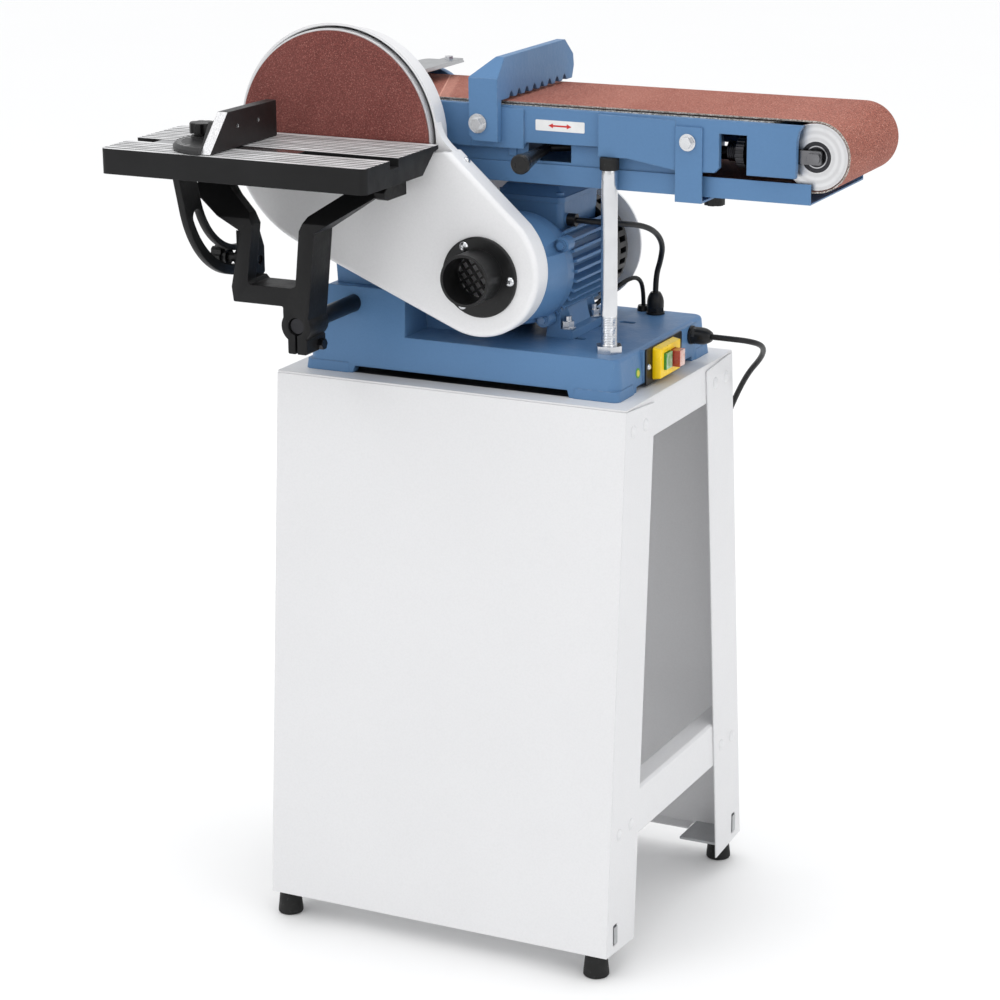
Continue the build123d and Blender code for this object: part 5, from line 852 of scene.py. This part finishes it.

# dark crosses painted as the shade inside the cross recesses of the three screws of the dust port
crosses = []
for deg, turn in ((118, 20), (-2, 50), (238, 5)):
    cx, cz = 39.0 + 36.5 * cos(radians(deg)), 764.5 + 36.5 * sin(radians(deg))
    outline = []
    for q in range(4):
        for u, w in ((0.5, 0.5), (0.5, 2.3), (-0.5, 2.3)):
            t = radians(-90.0 * q + turn)
            outline.append((cx + u * cos(t) - w * sin(t), cz + u * sin(t) + w * cos(t)))
    crosses.append(prism(list(reversed(outline)), front(-148.4), 1.14))
v, f = join(*crosses)
piece("port_screw_recess_shade", v, f, mat["spring"], "stand")

# angle ticks round the rim of the mitre head
ticks = []
for k in range(15):
    t = radians(180.0 + (k - 7) * 9.0)
    inner_r = 44.0 if k % 7 == 0 else 47.0
    er, et = Vector((cos(t), sin(t))), Vector((-sin(t), cos(t)))
    box4 = [er * rr + et * ww for rr, ww in ((inner_r, -0.35), (52.0, -0.35), (52.0, 0.35), (inner_r, 0.35))]
    ticks.append(prism([(-207.0 + q.x, -244.0 + q.y) for q in box4], lambda u, v, w: P(u, v, 909.5 + w), 0.12))
v, f = join(*ticks)
piece("mitre_scale", v, f, mat["label_white"], "mitre_gauge")

# ------------------------------------------------------------------ softened edges on carried-over parts
for n, w in {"stand_front_panel": 0.9, "stand_rear_panel": 0.9, "stand_top_plate": 0.8, "side_braces": 0.8, "backstop_fence": 1.4, "lower_guard": 0.6,
             "table_yoke": 1.2, "tilt_quadrant": 1.0, "mitre_fence": 0.6, "switch_housing": 0.6, "switch_plate": 0.4, "arm_casting": 1.2, "shaft_bracket": 1.2}.items():
    soft_edges(n, w)


# ------------------------------------------------------------------ floor and light
def studio():
    me = bpy.data.meshes.new("floor")
    s = 30.0
    me.from_pydata([(-s, -s, -0.0005), (s, -s, -0.0005), (s, s, -0.0005), (-s, s, -0.0005)], [], [(0, 1, 2, 3)])
    fl = bpy.data.objects.new("floor", me)
    scene.collection.objects.link(fl)
    m, nt, b = new_mat("pale_floor")
    v = coords(nt)
    put(nt, b.inputs["Base Color"], mixc(nt, ramp01(nt, noise(nt, v, 1.2, 2.0), 0.3, 0.7), (0.928, 0.928, 0.928), (0.932, 0.932, 0.932)))
    b.inputs["Roughness"].default_value = 0.7
    me.materials.append(m)

    w = bpy.data.worlds.new("world")
    scene.world = w
    w.use_nodes = True
    nt = w.node_tree
    nt.nodes.clear()
    out = nt.nodes.new("ShaderNodeOutputWorld")
    bg = nt.nodes.new("ShaderNodeBackground")
    nt.links.new(bg.outputs[0], out.inputs[0])
    d = nt.nodes.new("ShaderNodeTexCoord").outputs["Generated"]
    x, y, z = xyz(nt, d)
    # pale dome, brighter overhead and to the front left, softer elsewhere
    sky = mixc(nt, ramp01(nt, z, 0.0, 0.9), (0.64, 0.645, 0.655), (1.16, 1.165, 1.17))
    side_l = mth(nt, "ADD", mth(nt, "MULTIPLY", x, -0.62), mth(nt, "MULTIPLY", y, -0.60))
    sky = mixc(nt, mth(nt, "MULTIPLY", ramp01(nt, side_l, 0.35, 0.85), 0.55), sky, (1.45, 1.45, 1.45))
    nt.links.new(sky, bg.inputs[0])
    bg.inputs[1].default_value = 1.0

    def area(name, loc, target, size, power):
        li = bpy.data.lights.new(name, "AREA")
        li.shape = "RECTANGLE"
        li.size, li.size_y = size
        li.energy = power
        ob = bpy.data.objects.new(name, li)
        scene.collection.objects.link(ob)
        ob.location = loc
        ob.rotation_euler = (Vector(target) - Vector(loc)).to_track_quat("-Z", "Y").to_euler()
        return ob
    area("key", (-1.6, -2.8, 3.4), (0, 0, 0.7), (1.8, 1.2), 14)
    area("top", (0.3, 0.2, 3.8), (0, 0, 0.6), (2.0, 1.6), 18)
    area("fill", (2.6, -1.2, 1.8), (0, 0, 0.7), (1.6, 1.6), 10)
    scene.view_settings.view_transform = "Standard"
    scene.view_settings.look = "None"
    scene.view_settings.exposure = 0.0
    scene.view_settings.gamma = 1.0


studio()
